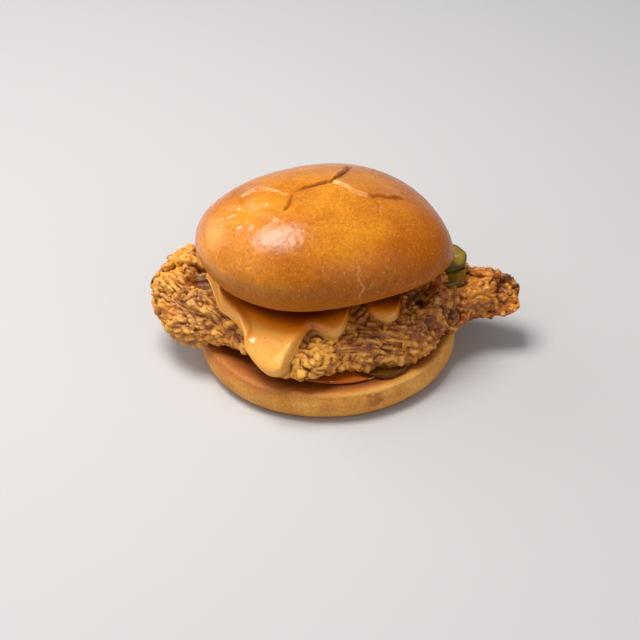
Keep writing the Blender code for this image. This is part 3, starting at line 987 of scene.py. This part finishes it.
# centre, reach, and how gold (above 0) or how brown (below 0) the crust is painted there: partly its own
# colour, partly painted light on lit lobes and painted shade in hollows and low down
FILLET_TONES = (
    ((-4.5, -50.0, 34), 12.0, 1.0),
    ((45.0, -34.0, 22), 5.0, 0.7),
    ((46.0, -30.0, 30), 6.0, -0.8),
    ((-76.0, 4.0, 38), 11.0, 0.7),
    ((-71.0, 14.0, 43), 8.0, 0.5),
    ((-58.0, -30.0, 24), 7.0, 0.5),
    ((76.0, -6.0, 36), 9.0, 0.4),
    ((58.0, 0.0, 38), 5.0, 0.6),
    ((-69.0, -13.5, 39), 5.5, -1.0),
    ((-59.0, -15.0, 40), 5.0, -0.8),
    ((-52.0, -24.0, 36), 4.5, -0.8),
    ((-42.0, -35.0, 30), 4.5, -0.8),
    ((24.0, -40.0, 32), 13.0, -1.0),
    ((8.0, -43.0, 37), 6.0, -0.6),
    ((40.0, -32.0, 33), 6.0, -0.7),
    ((44.0, -15.0, 38), 6.0, -1.0),
    ((-62.0, -2.0, 42), 7.0, -0.8),
    ((-64.0, -22.0, 26), 11.0, -0.9),
    ((60.0, -14.0, 26), 9.0, -0.5),
)
print(len(FILLET_FORMS), "dents and lobes,", len(FILLET_TONES), "tones")


# %% Layers of crust
# the direction in which the ridges of the left end run
SLANT = np.array((0.76, -0.42, -0.50))


def knobs(points, size, seed, wander, sharpness):
    """Rounded knobs about size across with creases between them: own height times 1 - ratio^sharpness."""
    ratio, _, own = cell_noise(warp(points, 1.7 * size, wander * size, seed), size, seed + 5)
    return (0.45 + 0.55 * own) * (1 - ratio**sharpness)


def folds(points, spacing, slope, seed):
    """Layers of batter that run along x: puffs of the points (0.16 x, 0.3 y, z + slope x + 0.35 y)."""
    bent = points[..., 2] + slope * points[..., 0] + 0.35 * points[..., 1]
    layered = np.stack([0.16 * points[..., 0], 0.3 * points[..., 1], bent], axis=-1)
    return puffs(warp(layered, 3.0, 0.9, seed), spacing, seed + 3, 0.55)


# centre, reach, spacing, slope
FOLD_PLACES = (
    ((19, -40, 33), (20, 12, 6.5), 2.3, 0.10),
    ((33, -38, 30), (14, 10, 6.0), 2.5, 0.16),
    ((-62, -24, 24), (14, 9, 5.0), 1.7, -0.12),
    ((-73, -17, 26), (8, 8, 6.0), 1.9, -0.20),
)


def crust_height(points, x, covered):
    """The crust's height over the formed fillet, in mm: lobes and crumbs all over it, ridges and a few
    knobs on the left end, nodules, curds and knobs on the right end, and curds and a few knobs between
    them. Folds take over at the fold places, and under the sauce only a quarter of the height is left."""
    left, right = ease(-x, 42, 56), ease(x, 40, 54)
    middle = 1 - left - right
    lobe = puffs(warp(points, 8.0, 2.5, 101), 9.5, 104)
    stretched = points - 0.58 * (points @ SLANT)[..., None] * SLANT
    ridge = puffs(warp(stretched, 3.0, 1.2, 107), 3.1, 110)
    knob = knobs(points, 3.7, 111, 0.34, 2.8)
    nodule = puffs(warp(points, 3.5, 1.2, 113), 5.0, 116)
    curd = puffs(warp(points, 4.0, 1.6, 117), 3.9, 119)
    crumb = puffs(warp(points, 1.7, 0.5, 121), 1.7, 123)
    height = (2.6 - 0.9 * right) * lobe + left * (2.4 * ridge + 0.6 * knob)
    height += right * (1.3 * nodule + 1.6 * curd + 0.7 * knob) + middle * (2.3 * curd + 0.3 * knob)
    height += 0.55 * crumb - 2.7 - 0.3 * right
    fold_share = np.zeros(height.shape)
    folded = np.zeros(height.shape)
    for centre, reach, spacing, slope in FOLD_PLACES:
        offset = (points - np.array(centre, dtype=float)) / np.array(reach, dtype=float)
        here = np.exp(-np.sum(offset**2, axis=-1))
        fold_share = np.maximum(fold_share, here)
        folded += here * folds(points, spacing, slope, 131)
    height = height * (1 - 0.6 * fold_share) + 2.4 * folded - 0.7 * fold_share
    return height * (1 - covered) + covered * np.clip(0.25 * height, -0.6, 0.5)


def averaged(values, reach):
    """Each value averaged with its neighbours, up to reach steps each way along the grid, twice over."""
    width = 2 * reach + 1
    for _ in range(2):
        rows = np.pad(values, ((reach, reach), (0, 0)), mode="edge")
        values = sum(rows[step : step + len(values)] for step in range(width)) / width
        values = sum(np.roll(values, step, axis=1) for step in range(-reach, reach + 1)) / width
    return values


# %% Raise the crust
covered = under_sauce(fillet_x, fillet_angle)
toward_tip = np.minimum(fillet_x - FILLET_STATIONS[0, 0], FILLET_STATIONS[-1, 0] - fillet_x)
free = (1 - covered) * ease(toward_tip, 0.5, 7.0)
forms = swells(plain_fillet, FILLET_FORMS) * free
formed = plain_fillet + plain_normal * forms[..., None]
formed_normal = ring_normals(formed)
height = crust_height(formed, fillet_x, covered)
# The columns meet at the two tips: the last rings take more and more of their own mean height.
from_pole = np.minimum(np.arange(FILLET_ALONG), np.arange(FILLET_ALONG)[::-1])
own_share = np.clip(from_pole / 5, 0, 1)[:, None]
height = height * own_share + height.mean(axis=1, keepdims=True) * (1 - own_share)
# How far each point lies below the crust around it, near and wide. Raised knobs sag a little, so that they
# hang over the gaps under them.
hollow = 1.1 * averaged(height, 4) + 0.5 * averaged(height, 1) - 1.6 * height
# Painted shade and light: the crust is painted darker where it lies below its neighbours and lighter on the
# raised tops.
gap = np.clip(ease(hollow, 0.05, 1.35) - 0.13 * forms, 0, 1)
crest = ease(-hollow, 0.10, 1.0)
downhill = np.array((0, 0, -1.0)) + formed_normal * formed_normal[..., 2:]
sag = 0.35 * np.clip(-hollow, 0, 1.5)
crust_rings = formed + formed_normal * height[..., None] + downhill * sag[..., None]
# The tips are drawn in softly, over their last millimetres, so that nothing passes the fillet's ends.
from_middle = crust_rings[..., 0] - FILLET_MIDDLE
left_reach, right_reach = FILLET_MIDDLE - FILLET_STATIONS[0, 0], FILLET_STATIONS[-1, 0] - FILLET_MIDDLE
reach = np.where(from_middle > 0, right_reach, left_reach) - TIP_MARGIN
free_reach = reach - TIP_BAND
over = np.clip(np.abs(from_middle) - free_reach, 0, None)
drawn_in = np.where(over > 0, free_reach + TIP_BAND * np.tanh(over / TIP_BAND), np.abs(from_middle))
crust_rings[..., 0] = FILLET_MIDDLE + np.sign(from_middle) * drawn_in
# Painted light and shade as well as the crust's own colour: gold on lit lobes, brown in hollows and low down.
tone = np.clip(swells(plain_fillet, FILLET_TONES), -1, 1)
print("crust from", round(float(height.min()), 1), "to", round(float(height.max()), 1), "mm")


# %% [markdown]
# Fried breading is gold, tan where flour stayed dry and browner in the folds, and it glistens a little with
# oil. The gap and crest attributes from the shape steer the colour: the gaps are painted dark as painted
# shade and the raised tops lighter as painted light, so colour and shape agree.


# %% Breading material
def breading_material(name, has_gaps):
    """Fried flour crust: gold knobs with painted light on their tops, dark gaps with painted shade, a little
    oil. Loose knobs have a random shade instead of gaps.
    """
    material, tree, shader, at = start_material(name)
    patches = add(tree, "TexNoise", {"Vector": at, "Scale": 1 / 8, "Detail": 3.0, "Roughness": 0.55})
    fried = [(0.33, "#9A5010"), (0.44, "#C2761A"), (0.56, "#DC962A"), (0.68, "#EEB044")]
    colour = add(tree, "ValToRGB", {"Fac": patches}, fried)
    fine = add(tree, "TexNoise", {"Vector": at, "Scale": 1 / 0.9, "Detail": 3.0, "Roughness": 0.6})
    flour = add(tree, "ValToRGB", {"Fac": fine}, [(0.28, 0.76), (0.50, 1.0), (0.72, 1.20)])
    along = add(tree, "SeparateXYZ", {"Vector": at}).outputs["X"]
    rightward = {"Value": along, "From Min": 5.0, "From Max": 60.0, "To Max": 0.85}
    redder = add(tree, "MapRange", rightward, interpolation_type="SMOOTHSTEP")
    layers = [(1.0, flour, "MULTIPLY"), (redder, "#D4AC64", "MULTIPLY")]
    if has_gaps:
        # Painted light and shade: gold and brown at the named places, lighter raised tops and dark gaps.
        names = ("tone", "crest", "gap")
        tone, raised, depth = (add(tree, "Attribute", attribute_name=mark).outputs["Fac"] for mark in names)
        gold = add(tree, "MapRange", {"Value": tone, "To Max": 0.75})
        brown = add(tree, "MapRange", {"Value": tone, "From Max": -1.0, "To Max": 0.8})
        tops = add(tree, "Math", {0: raised, 1: 0.5}, operation="MULTIPLY")
        deep = add(tree, "MapRange", {"Value": depth, "From Min": 0.02, "From Max": 0.9, "To Max": 0.95})
        layers += [(gold, "#E8A238", "MIX"), (brown, "#82441E", "MIX")]
        layers += [(tops, "#F0B852", "MIX"), (deep, "#521F04", "MIX")]
    else:
        shade = add(tree, "Attribute", attribute_name="shade").outputs["Fac"]
        shaded = add(tree, "ValToRGB", {"Fac": shade}, [(0.0, 0.74), (0.5, 0.98), (1.0, 1.16)])
        layers.append((1.0, shaded, "MULTIPLY"))
    for share, layer, blend in layers:
        colour = add(tree, "Mix", {0: share, 6: colour, 7: layer}, data_type="RGBA", blend_type=blend)
    oil = {"Value": patches, "From Min": 0.35, "From Max": 0.65, "To Min": 0.28, "To Max": 0.50}
    looks = {
        "Base Color": colour,
        "Roughness": add(tree, "MapRange", oil),
        "Specular IOR Level": 0.45,
        "Subsurface Weight": 0.10,
        "Subsurface Radius": (1.0, 0.55, 0.25),
        "Subsurface Scale": 0.0012,
        "Normal": add(tree, "Bump", {"Height": fine, "Strength": 0.6, "Distance": 0.0005}),
    }
    set_inputs(tree, shader, looks)
    return material


crust_marks = {"gap": gap, "crest": crest, "tone": tone}
fillet = ring_mesh("fried_fillet", crust_rings, breading_material("fried breading", True), crust_marks)
place(fillet, "chicken_fillet", "breading")

# %% [markdown]
# Loose knobs are the same small lump many times over: a ball of 48 faces, stretched, turned and dented
# by its own random numbers, and half sunk in the crust. They are larger on the two ends than between them.
# Flakes are the same ball, flattened, curled and laid on the crust.


# %% Lumps from one small ball
def ball_template(around, rows):
    """The unit directions of a small ball with two poles, and its faces as rows of vertex numbers."""
    turn = np.linspace(0, 2 * math.pi, around, endpoint=False)
    fall = np.linspace(0, math.pi, rows + 2)[1:-1]
    wide, high = np.sin(fall)[:, None], np.repeat(np.cos(fall)[:, None], around, 1)
    ring = np.stack([wide * np.cos(turn), wide * np.sin(turn), high], -1)
    directions = np.concatenate([ring.reshape(-1, 3), [(0, 0, 1), (0, 0, -1)]])
    column, after = np.arange(around), (np.arange(around) + 1) % around
    between = np.stack([column, around + column, around + after, after], -1)
    quads = [between + row * around for row in range(rows - 1)]
    top = np.stack([column, after, np.full(around, rows * around)], -1)
    last = (rows - 1) * around
    bottom = np.stack([last + after, last + column, np.full(around, rows * around + 1)], -1)
    return directions, np.concatenate(quads), np.concatenate([top, bottom])


def random_turns(dice, count):
    """count random rotation matrices, from unit quaternions."""
    w, x, y, z = np.moveaxis(dice.normal(size=(count, 4)), -1, 0)
    length = np.sqrt(w * w + x * x + y * y + z * z)
    w, x, y, z = w / length, x / length, y / length, z / length
    rows = (
        (1 - 2 * (y * y + z * z), 2 * (x * y - w * z), 2 * (x * z + w * y)),
        (2 * (x * y + w * z), 1 - 2 * (x * x + z * z), 2 * (y * z - w * x)),
        (2 * (x * z - w * y), 2 * (y * z + w * x), 1 - 2 * (x * x + y * y)),
    )
    return np.stack([np.stack(row, -1) for row in rows], -2)


def balls_mesh(name, centres, radii, turns, dents, curls, shades, material):
    """One mesh of many closed lumps. radii has three half axes for each, dents how uneven each one is, and
    curls how far it bends: its z rises by curl x^2 / a for the half axis a."""
    directions, quads, triangles = ball_template(8, 5)
    uneven = 1 + dents[:, None] * smooth_noise(directions[None] * 1.3 + centres[:, None], 1.0, 151)
    local = directions[None] * radii[:, None, :] * uneven[..., None]
    local[..., 2] += curls[:, None] * local[..., 0] ** 2 / radii[:, None, 0]
    points = np.einsum("nij,nkj->nki", turns, local) + centres[:, None]
    offset = np.arange(len(centres))[:, None, None] * len(directions)
    quads, triangles = (quads + offset).reshape(-1, 4), (triangles + offset).reshape(-1, 3)
    marks = {"shade": np.repeat(shades, len(directions))}
    return closed_mesh(name, points.reshape(-1, 3), quads, triangles, material, marks)


print("one ball has", sum(len(faces) for faces in ball_template(8, 5)[1:]), "faces")


# %% Where loose lumps lie
def knob_crowding(points, x, angle, normal):
    """How crowded the knobs are at each point of the crust: most on the right end and at the front, fewer
    on the left end and at the back, none between the ends on top, and none under the sauce, at the tips or
    beside the pickles."""
    right = ease(x, 44, 54)
    left = ease(-x, 44, 54)
    front = ease(-normal[..., 1], 0.1, 0.5) * (1 - right) * (1 - left)
    back = ease(normal[..., 1], 0.2, 0.6) * (1 - right) * (1 - left)
    crowding = 0.55 * right + 0.30 * left + 0.45 * front + 0.30 * back
    crowding = crowding * (1 - ease(under_sauce(x, angle), 0.05, 0.3))
    beside_pickle = np.linalg.norm(points - np.array((57.0, 8.0, 42.0)), axis=-1)
    from_tip = np.minimum(x - FILLET_STATIONS[0, 0], FILLET_STATIONS[-1, 0] - x)
    return crowding * ease(beside_pickle, 15, 18) * ease(from_tip, 5, 10)


def draw_places(dice, count, crowding):
    """Draws count points of the crust, by area and crowding: the point and the crust's normal there."""
    along = np.linalg.norm(np.gradient(plain_fillet, axis=0), axis=-1)
    around = np.linalg.norm(np.roll(plain_fillet, -1, axis=1) - plain_fillet, axis=-1)
    chance = (along * around * crowding).ravel()
    picked = dice.choice(chance.size, size=count, replace=False, p=chance / chance.sum())
    return crust_rings.reshape(-1, 3)[picked], plain_normal.reshape(-1, 3)[picked]


def keep_inside(centre, radii):
    """Moves lumps that would pass the fillet's tips back inside them."""
    room = radii.max(axis=1) * 1.5
    centre[:, 0] = np.clip(centre[:, 0], FILLET_STATIONS[0, 0] + room, FILLET_STATIONS[-1, 0] - room)
    return centre


# %% Scatter the knobs and the flakes
def scatter_knobs(count):
    """Places, half axes, turns, dents, curls and shades of the loose knobs: larger ones on the two ends."""
    dice = np.random.default_rng(7)
    centre, normal = draw_places(dice, count, crust_crowding)
    x = centre[:, 0]
    right, left = ease(x, 46, 56), ease(-x, 46, 56)
    smallest = 0.50 + 0.75 * right + 0.30 * left
    largest = 1.45 + 1.15 * right + 1.15 * left
    size = smallest + (largest - smallest) * dice.random(count) ** 2.0
    shape = [dice.uniform(0.95, 1.45, count), dice.uniform(0.7, 1.0, count), dice.uniform(0.55, 0.9, count)]
    radii = size[:, None] * np.stack(shape, -1)
    centre = centre - normal * (dice.uniform(0.45, 0.95, count) * size)[:, None]
    dents, shades = dice.uniform(0.25, 0.5, count), dice.random(count)
    return keep_inside(centre, radii), radii, random_turns(dice, count), dents, np.zeros(count), shades


def scatter_flakes(count):
    """The same for thin curled flakes of batter that lie on the crust, each a little tilted."""
    dice = np.random.default_rng(19)
    centre, normal = draw_places(dice, count, crust_crowding)
    size = 0.9 + 1.7 * dice.random(count) ** 1.8
    shape = [dice.uniform(0.9, 1.5, count), dice.uniform(0.6, 0.9, count), dice.uniform(0.16, 0.28, count)]
    radii = size[:, None] * np.stack(shape, -1)
    facing = normal + dice.normal(size=(count, 3)) * 0.25
    facing /= np.linalg.norm(facing, axis=1, keepdims=True)
    side = np.cross(facing, dice.normal(size=(count, 3)) * 0.6 + np.array((1.0, 0, 0)))
    side /= np.linalg.norm(side, axis=1, keepdims=True)
    turns = np.stack([np.cross(side, facing), side, facing], -1)
    centre = centre + normal * (0.05 * size)[:, None]
    dents, curls = dice.uniform(0.3, 0.6, count), dice.uniform(-0.8, 0.3, count)
    return keep_inside(centre, radii), radii, turns, dents, curls, dice.random(count)


crust_crowding = knob_crowding(crust_rings, fillet_x, fillet_angle, plain_normal)
knob_breading = breading_material("fried knobs", False)
for name, scatter, count in (("fried_knobs", scatter_knobs, 200), ("fried_flakes", scatter_flakes, 90)):
    lumps = balls_mesh(name, *scatter(count), knob_breading)
    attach(lumps, "root")

# %% [markdown]
# ## The sauce over the fillet
# The sauce is a thick, creamy spread that crept over the crust and ran down in one long tongue and a few
# short ones. It is a skin with an outer and an inner surface. Its thickness swells just behind the hem, as a
# running sauce piles up at its front, and rolls off to nothing at the hem like a quarter round.


# %% Sauce rings
SAUCE_THICKNESS = 2.2
SAUCE_UNDER = 0.5
SAUCE_HEM_ROUND = 3.2
SAUCE_END_ROUND = 3.0
# centre, radius, height of the places where the sauce rides over a knob of crust
SAUCE_BUMPS = (
    ((-21.5, -54.0, 29), 3.6, 1.1),
    ((-15.5, -50.0, 34), 2.6, 0.7),
    ((-36.5, -40.0, 31), 2.8, 0.9),
    ((-51.0, -13.0, 40), 3.6, 1.0),
    ((1.0, -42.0, 37), 2.8, 0.7),
)


def sauce_rings(along=260, across=92):
    """For each x, from the back edge to the hem: the points, their normals, how thick the sauce is there and
    how much painted shade it takes. Thickness = T sqrt(1 - (1 - d / r)^2) for the distance d < r to an edge."""
    u = np.linspace(0, 1, along)
    x = SAUCE_START + (SAUCE_END - SAUCE_START) * (u - 0.02 * np.sin(2 * math.pi * u))
    share = np.linspace(0, 1, across)
    share = share - 0.06 * np.sin(2 * math.pi * share)
    hem, back = sauce_hem(x), sauce_back(x)
    degrees = back[:, None] + (hem - back)[:, None] * share[None, :]
    x2 = np.repeat(x[:, None], across, axis=1)
    base = fillet_form(x2, np.radians(degrees))
    waver = 1.1 * smooth_noise(base, 7.0, 163)
    degrees = degrees + waver * share[None, :] * sauce_ends(x)[:, None]
    base = fillet_form(x2, np.radians(degrees))
    steps = np.linalg.norm(np.diff(base, axis=1), axis=-1)
    run = running_length(steps)
    to_hem = run[:, -1:] - run
    to_edge = np.minimum(run, to_hem)
    to_end = np.minimum(x - SAUCE_START, SAUCE_END - x)[:, None]
    round_edge = np.sqrt(np.clip(1 - (1 - np.clip(to_edge / SAUCE_HEM_ROUND, 0, 1)) ** 2, 0, 1))
    round_end = np.sqrt(np.clip(1 - (1 - np.clip(to_end / SAUCE_END_ROUND, 0, 1)) ** 2, 0, 1))
    pile = 1.9 * bell(to_hem - 5.0, 4.2) * ease(hem, 135, 172)[:, None]
    pile += 0.7 * bell(to_hem - 3.5, 3.0)
    pile += 2.2 * np.exp(-(((x2 + 52) / 6.5) ** 2) - ((to_hem - 5.0) / 5.0) ** 2)
    flow = 0.35 * rough_noise(base, 11, 165, 2) + swells(base, SAUCE_BUMPS)
    thickness = (SAUCE_THICKNESS + pile + flow) * round_edge * round_end
    normal = ring_normals(np.concatenate([base, base[:, ::-1] - np.array((0, 0, 4.0))], axis=1))[:, :across]
    # Painted shade: darker towards the back under the crown's lip, fading out down the front and on the short
    # runs, and none at the left end.
    thin = (1 - ease(degrees, 112, 146)) * ease(x2, -56, -38)
    return base, normal, thickness, thin


sauce_base, sauce_normal, sauce_thickness, sauce_thin = sauce_rings()
upward = np.sum(sauce_normal * (sauce_base - np.array((0, 0, 28.0))), axis=-1)
if np.mean(upward) < 0:
    sauce_normal = -sauce_normal
outer = sauce_base + sauce_normal * (SAUCE_UNDER + sauce_thickness)[..., None]
inner = sauce_base + sauce_normal * SAUCE_UNDER
sauce_skin = np.concatenate([outer, inner[:, ::-1]], axis=1)
thin_marks = np.concatenate([sauce_thin, sauce_thin[:, ::-1]], axis=1)
print("sauce skin:", sauce_skin.shape)


# %% Sauce material
def sauce_material(name, tint):
    """Chilli mayonnaise: an opaque orange cream with a wet shine, a little light through its thin edges,
    and tiny specks of red pepper. The thin attribute adds painted shade, darker and browner towards the
    crown, and the tint darkens the whole copy, as painted shade for the spread under the fillet."""
    material, tree, shader, at = start_material(name)
    cloud = add(tree, "TexNoise", {"Vector": at, "Scale": 1 / 12, "Detail": 2.0})
    colour = add(tree, "ValToRGB", {"Fac": cloud}, [(0.35, "#EA9E3E"), (0.65, "#F0AA4C")])
    grains = add(tree, "TexVoronoi", {"Vector": at, "Scale": 1 / 3.4, "Randomness": 1.0})
    specks = add(tree, "ValToRGB", {"Fac": grains}, [(0.07, 0.85), (0.13, 0.0)])
    # Painted shade: the ramp darkens and browns the sauce as the thin attribute rises.
    thin = add(tree, "Attribute", attribute_name="thin").outputs["Fac"]
    depth = add(tree, "ValToRGB", {"Fac": thin}, [(0.0, 1.0), (0.5, "#FFD450"), (1.0, "#80440C")])
    layers = ((specks, "#8C3A10", "MIX"), (1.0, depth, "MULTIPLY"), (1.0, tint, "MULTIPLY"))
    for share, layer, blend in layers:
        colour = add(tree, "Mix", {0: share, 6: colour, 7: layer}, data_type="RGBA", blend_type=blend)
    looks = {
        "Base Color": colour,
        "Roughness": 0.18,
        "Specular IOR Level": 0.5,
        "Subsurface Weight": 0.15,
        "Subsurface Radius": (1.0, 0.45, 0.10),
        "Subsurface Scale": 0.002,
    }
    set_inputs(tree, shader, looks)
    return material


creamy_sauce = sauce_material("creamy chilli sauce", "#FFFFFF")
sauce_over = ring_mesh("sauce_over_fillet", sauce_skin, creamy_sauce, {"thin": thin_marks})
place(sauce_over, "sauce_top", "sauce")

# %% [markdown]
# ## The sauce on the heel
# A thin spread on the cut face. Its rim is uneven, and it stays clear of the pickle slice that lies in it.

# %% Sauce spread
PICKLE_THICKNESS = 2.6
PICKLE_PLACES = {
    "pickle_heel": ((25.0, -35.5, 17.7), 13.5),
    "pickle_side_lower": ((54.8, 4.0, 39.95), 12.2),
    "pickle_side_upper": ((56.0, 11.5, 42.95), 11.7),
}


def disc_rings(radius, thickness, rows, columns, edge):
    """A round slice as rings: the top face from its middle out, the edge as a half round of radius edge,
    and the underside back in. radius is an array over the columns."""
    face = np.linspace(0.02, 1, rows)
    turn = np.radians(np.linspace(90, -90, 13))
    inset = 1 - edge / radius.mean()
    flat = face[:-1] * inset
    spread = np.concatenate([flat, inset + (1 - inset) * np.cos(turn), flat[::-1]])
    half = thickness / 2
    z = np.concatenate([np.full(rows - 1, half), half * np.sin(turn), np.full(rows - 1, -half)])
    angle = np.linspace(0, 2 * math.pi, columns, endpoint=False)
    across = spread[:, None] * (radius * np.cos(angle))[None, :]
    along = spread[:, None] * (radius * np.sin(angle))[None, :]
    return np.stack([across, along, np.repeat(z[:, None], columns, 1)], -1), spread


SPREAD_MIDDLE = (2.0, -6.5, 17.3)
SPREAD_RADIUS = 45.5
SPREAD_THICKNESS = 1.8
SPREAD_COLUMNS = 260


def make_sauce_spread():
    """The spread's rim is R (1 + 0.02 sin(3a + 1) + 0.015 cos 5a). Its top sinks where the pickle lies."""
    angle = np.linspace(0, 2 * math.pi, SPREAD_COLUMNS, endpoint=False)
    radius = SPREAD_RADIUS * (1 + 0.02 * np.sin(3 * angle + 1) + 0.015 * np.cos(5 * angle))
    rings, _ = disc_rings(radius, SPREAD_THICKNESS, 46, SPREAD_COLUMNS, 0.9)
    rings = rings + np.array(SPREAD_MIDDLE)
    centre, size = PICKLE_PLACES["pickle_heel"]
    offset = rings[..., :2] - np.array(centre[:2])
    distance = np.linalg.norm(offset, axis=-1)
    clear = size + 0.9
    sunk = ease(distance, clear + 1.4, clear)
    top = rings[..., 2] > SPREAD_MIDDLE[2]
    rings[..., 2] -= np.where(top, sunk * 1.55, 0)
    swirl = 0.22 * rough_noise(rings, 8, 171, 2) * (1 - sunk)
    rings[..., 2] += np.where(top, swirl - 0.2, 0)
    return rings


spread_rings = make_sauce_spread()
# Painted shade: the spread under the fillet takes a share of the sauce's painted shade and a darker, browner
# tint.
spread_thin = np.full(spread_rings.shape[:2], 0.2)
thin_sauce = sauce_material("chilli sauce on toast", "#BE9A6C")
spread = ring_mesh("sauce_on_heel", spread_rings, thin_sauce, {"thin": spread_thin})
place(spread, "sauce_heel", "sauce")

# %% [markdown]
# ## The pickle slices
# Round cucumber slices: a wet olive face with a ring of pale seeds, and a darker, scalloped green skin.


# %% Pickle slices
def pickle_material(name, tint, skin):
    """Brined cucumber: olive flesh, paler seeds, dark green skin, wet. The tint darkens a slice's copy as
    painted shade where the slice lies in shade, and on the heel's slice stands for juice as well.
    """
    material, tree, shader, at = start_material(name)
    reach, seed = (add(tree, "Attribute", attribute_name=mark).outputs["Fac"] for mark in ("reach", "seed"))
    flesh = [(0.30, "#B0963C"), (0.72, "#9C802C"), (0.88, "#80681E"), (0.96, skin)]
    colour = add(tree, "ValToRGB", {"Fac": reach}, flesh)
    fine = add(tree, "TexNoise", {"Vector": at, "Scale": 1 / 1.8, "Detail": 3.0})
    wet = add(tree, "ValToRGB", {"Fac": fine}, [(0.32, 0.78), (0.68, 1.18)])
    layers = ((1.0, wet, "MULTIPLY"), (seed, "#C2B878", "MIX"), (1.0, tint, "MULTIPLY"))
    for share, layer, blend in layers:
        colour = add(tree, "Mix", {0: share, 6: colour, 7: layer}, data_type="RGBA", blend_type=blend)
    looks = {
        "Base Color": colour,
        "Roughness": 0.32,
        "Specular IOR Level": 0.25,
        "Subsurface Weight": 0.3,
        "Subsurface Radius": (0.8, 0.8, 0.2),
        "Subsurface Scale": 0.0015,
    }
    set_inputs(tree, shader, looks)
    return material


PICKLE_COLUMNS = 168
PICKLE_SKIN_ROUND = 0.5


def make_pickle(node, material):
    """A slice with a scalloped rim, 0.965 R (1 + 0.015 sin 8a), nine seed pits and a slight sag."""
    centre, size = PICKLE_PLACES[node]
    angle = np.linspace(0, 2 * math.pi, PICKLE_COLUMNS, endpoint=False)
    radius = 0.965 * size * (1 + 0.015 * np.sin(8 * angle))
    rings, spread = disc_rings(radius, PICKLE_THICKNESS, 40, PICKLE_COLUMNS, PICKLE_SKIN_ROUND)
    reach = np.repeat(spread[:, None], PICKLE_COLUMNS, 1)
    bearing = np.repeat(angle[None, :], len(spread), 0)
    seed = bell(reach - 0.50, 0.13) * ease(np.cos(9 * bearing), 0.45, 0.85)
    sign = np.sign(rings[..., 2])
    relief = 0.10 * rough_noise(rings, 3.2, 181, 2) + 0.22 * seed - 0.28 * ease(reach, 0.80, 0.62)
    rings[..., 2] += np.where(reach < 0.93, sign * (relief - 0.12), 0)
    marks = {"reach": reach, "seed": 0.7 * seed}
    place(ring_mesh(node + "_slice", rings + np.array(centre), material, marks), node, "pickle")


# the tint of each slice's copy, painted shade for the slices that lie in shade and juice stain as well on
# the heel's, and its skin
PICKLE_LOOKS = {
    "pickle_heel": ("#B88848", "#8C7028"),
    "pickle_side_lower": ("#F0D088", "#7A6618"),
    "pickle_side_upper": ("#FFFFFF", "#5E5012"),
}
for node, (tint, skin) in PICKLE_LOOKS.items():
    make_pickle(node, pickle_material("brined cucumber, " + node, tint, skin))
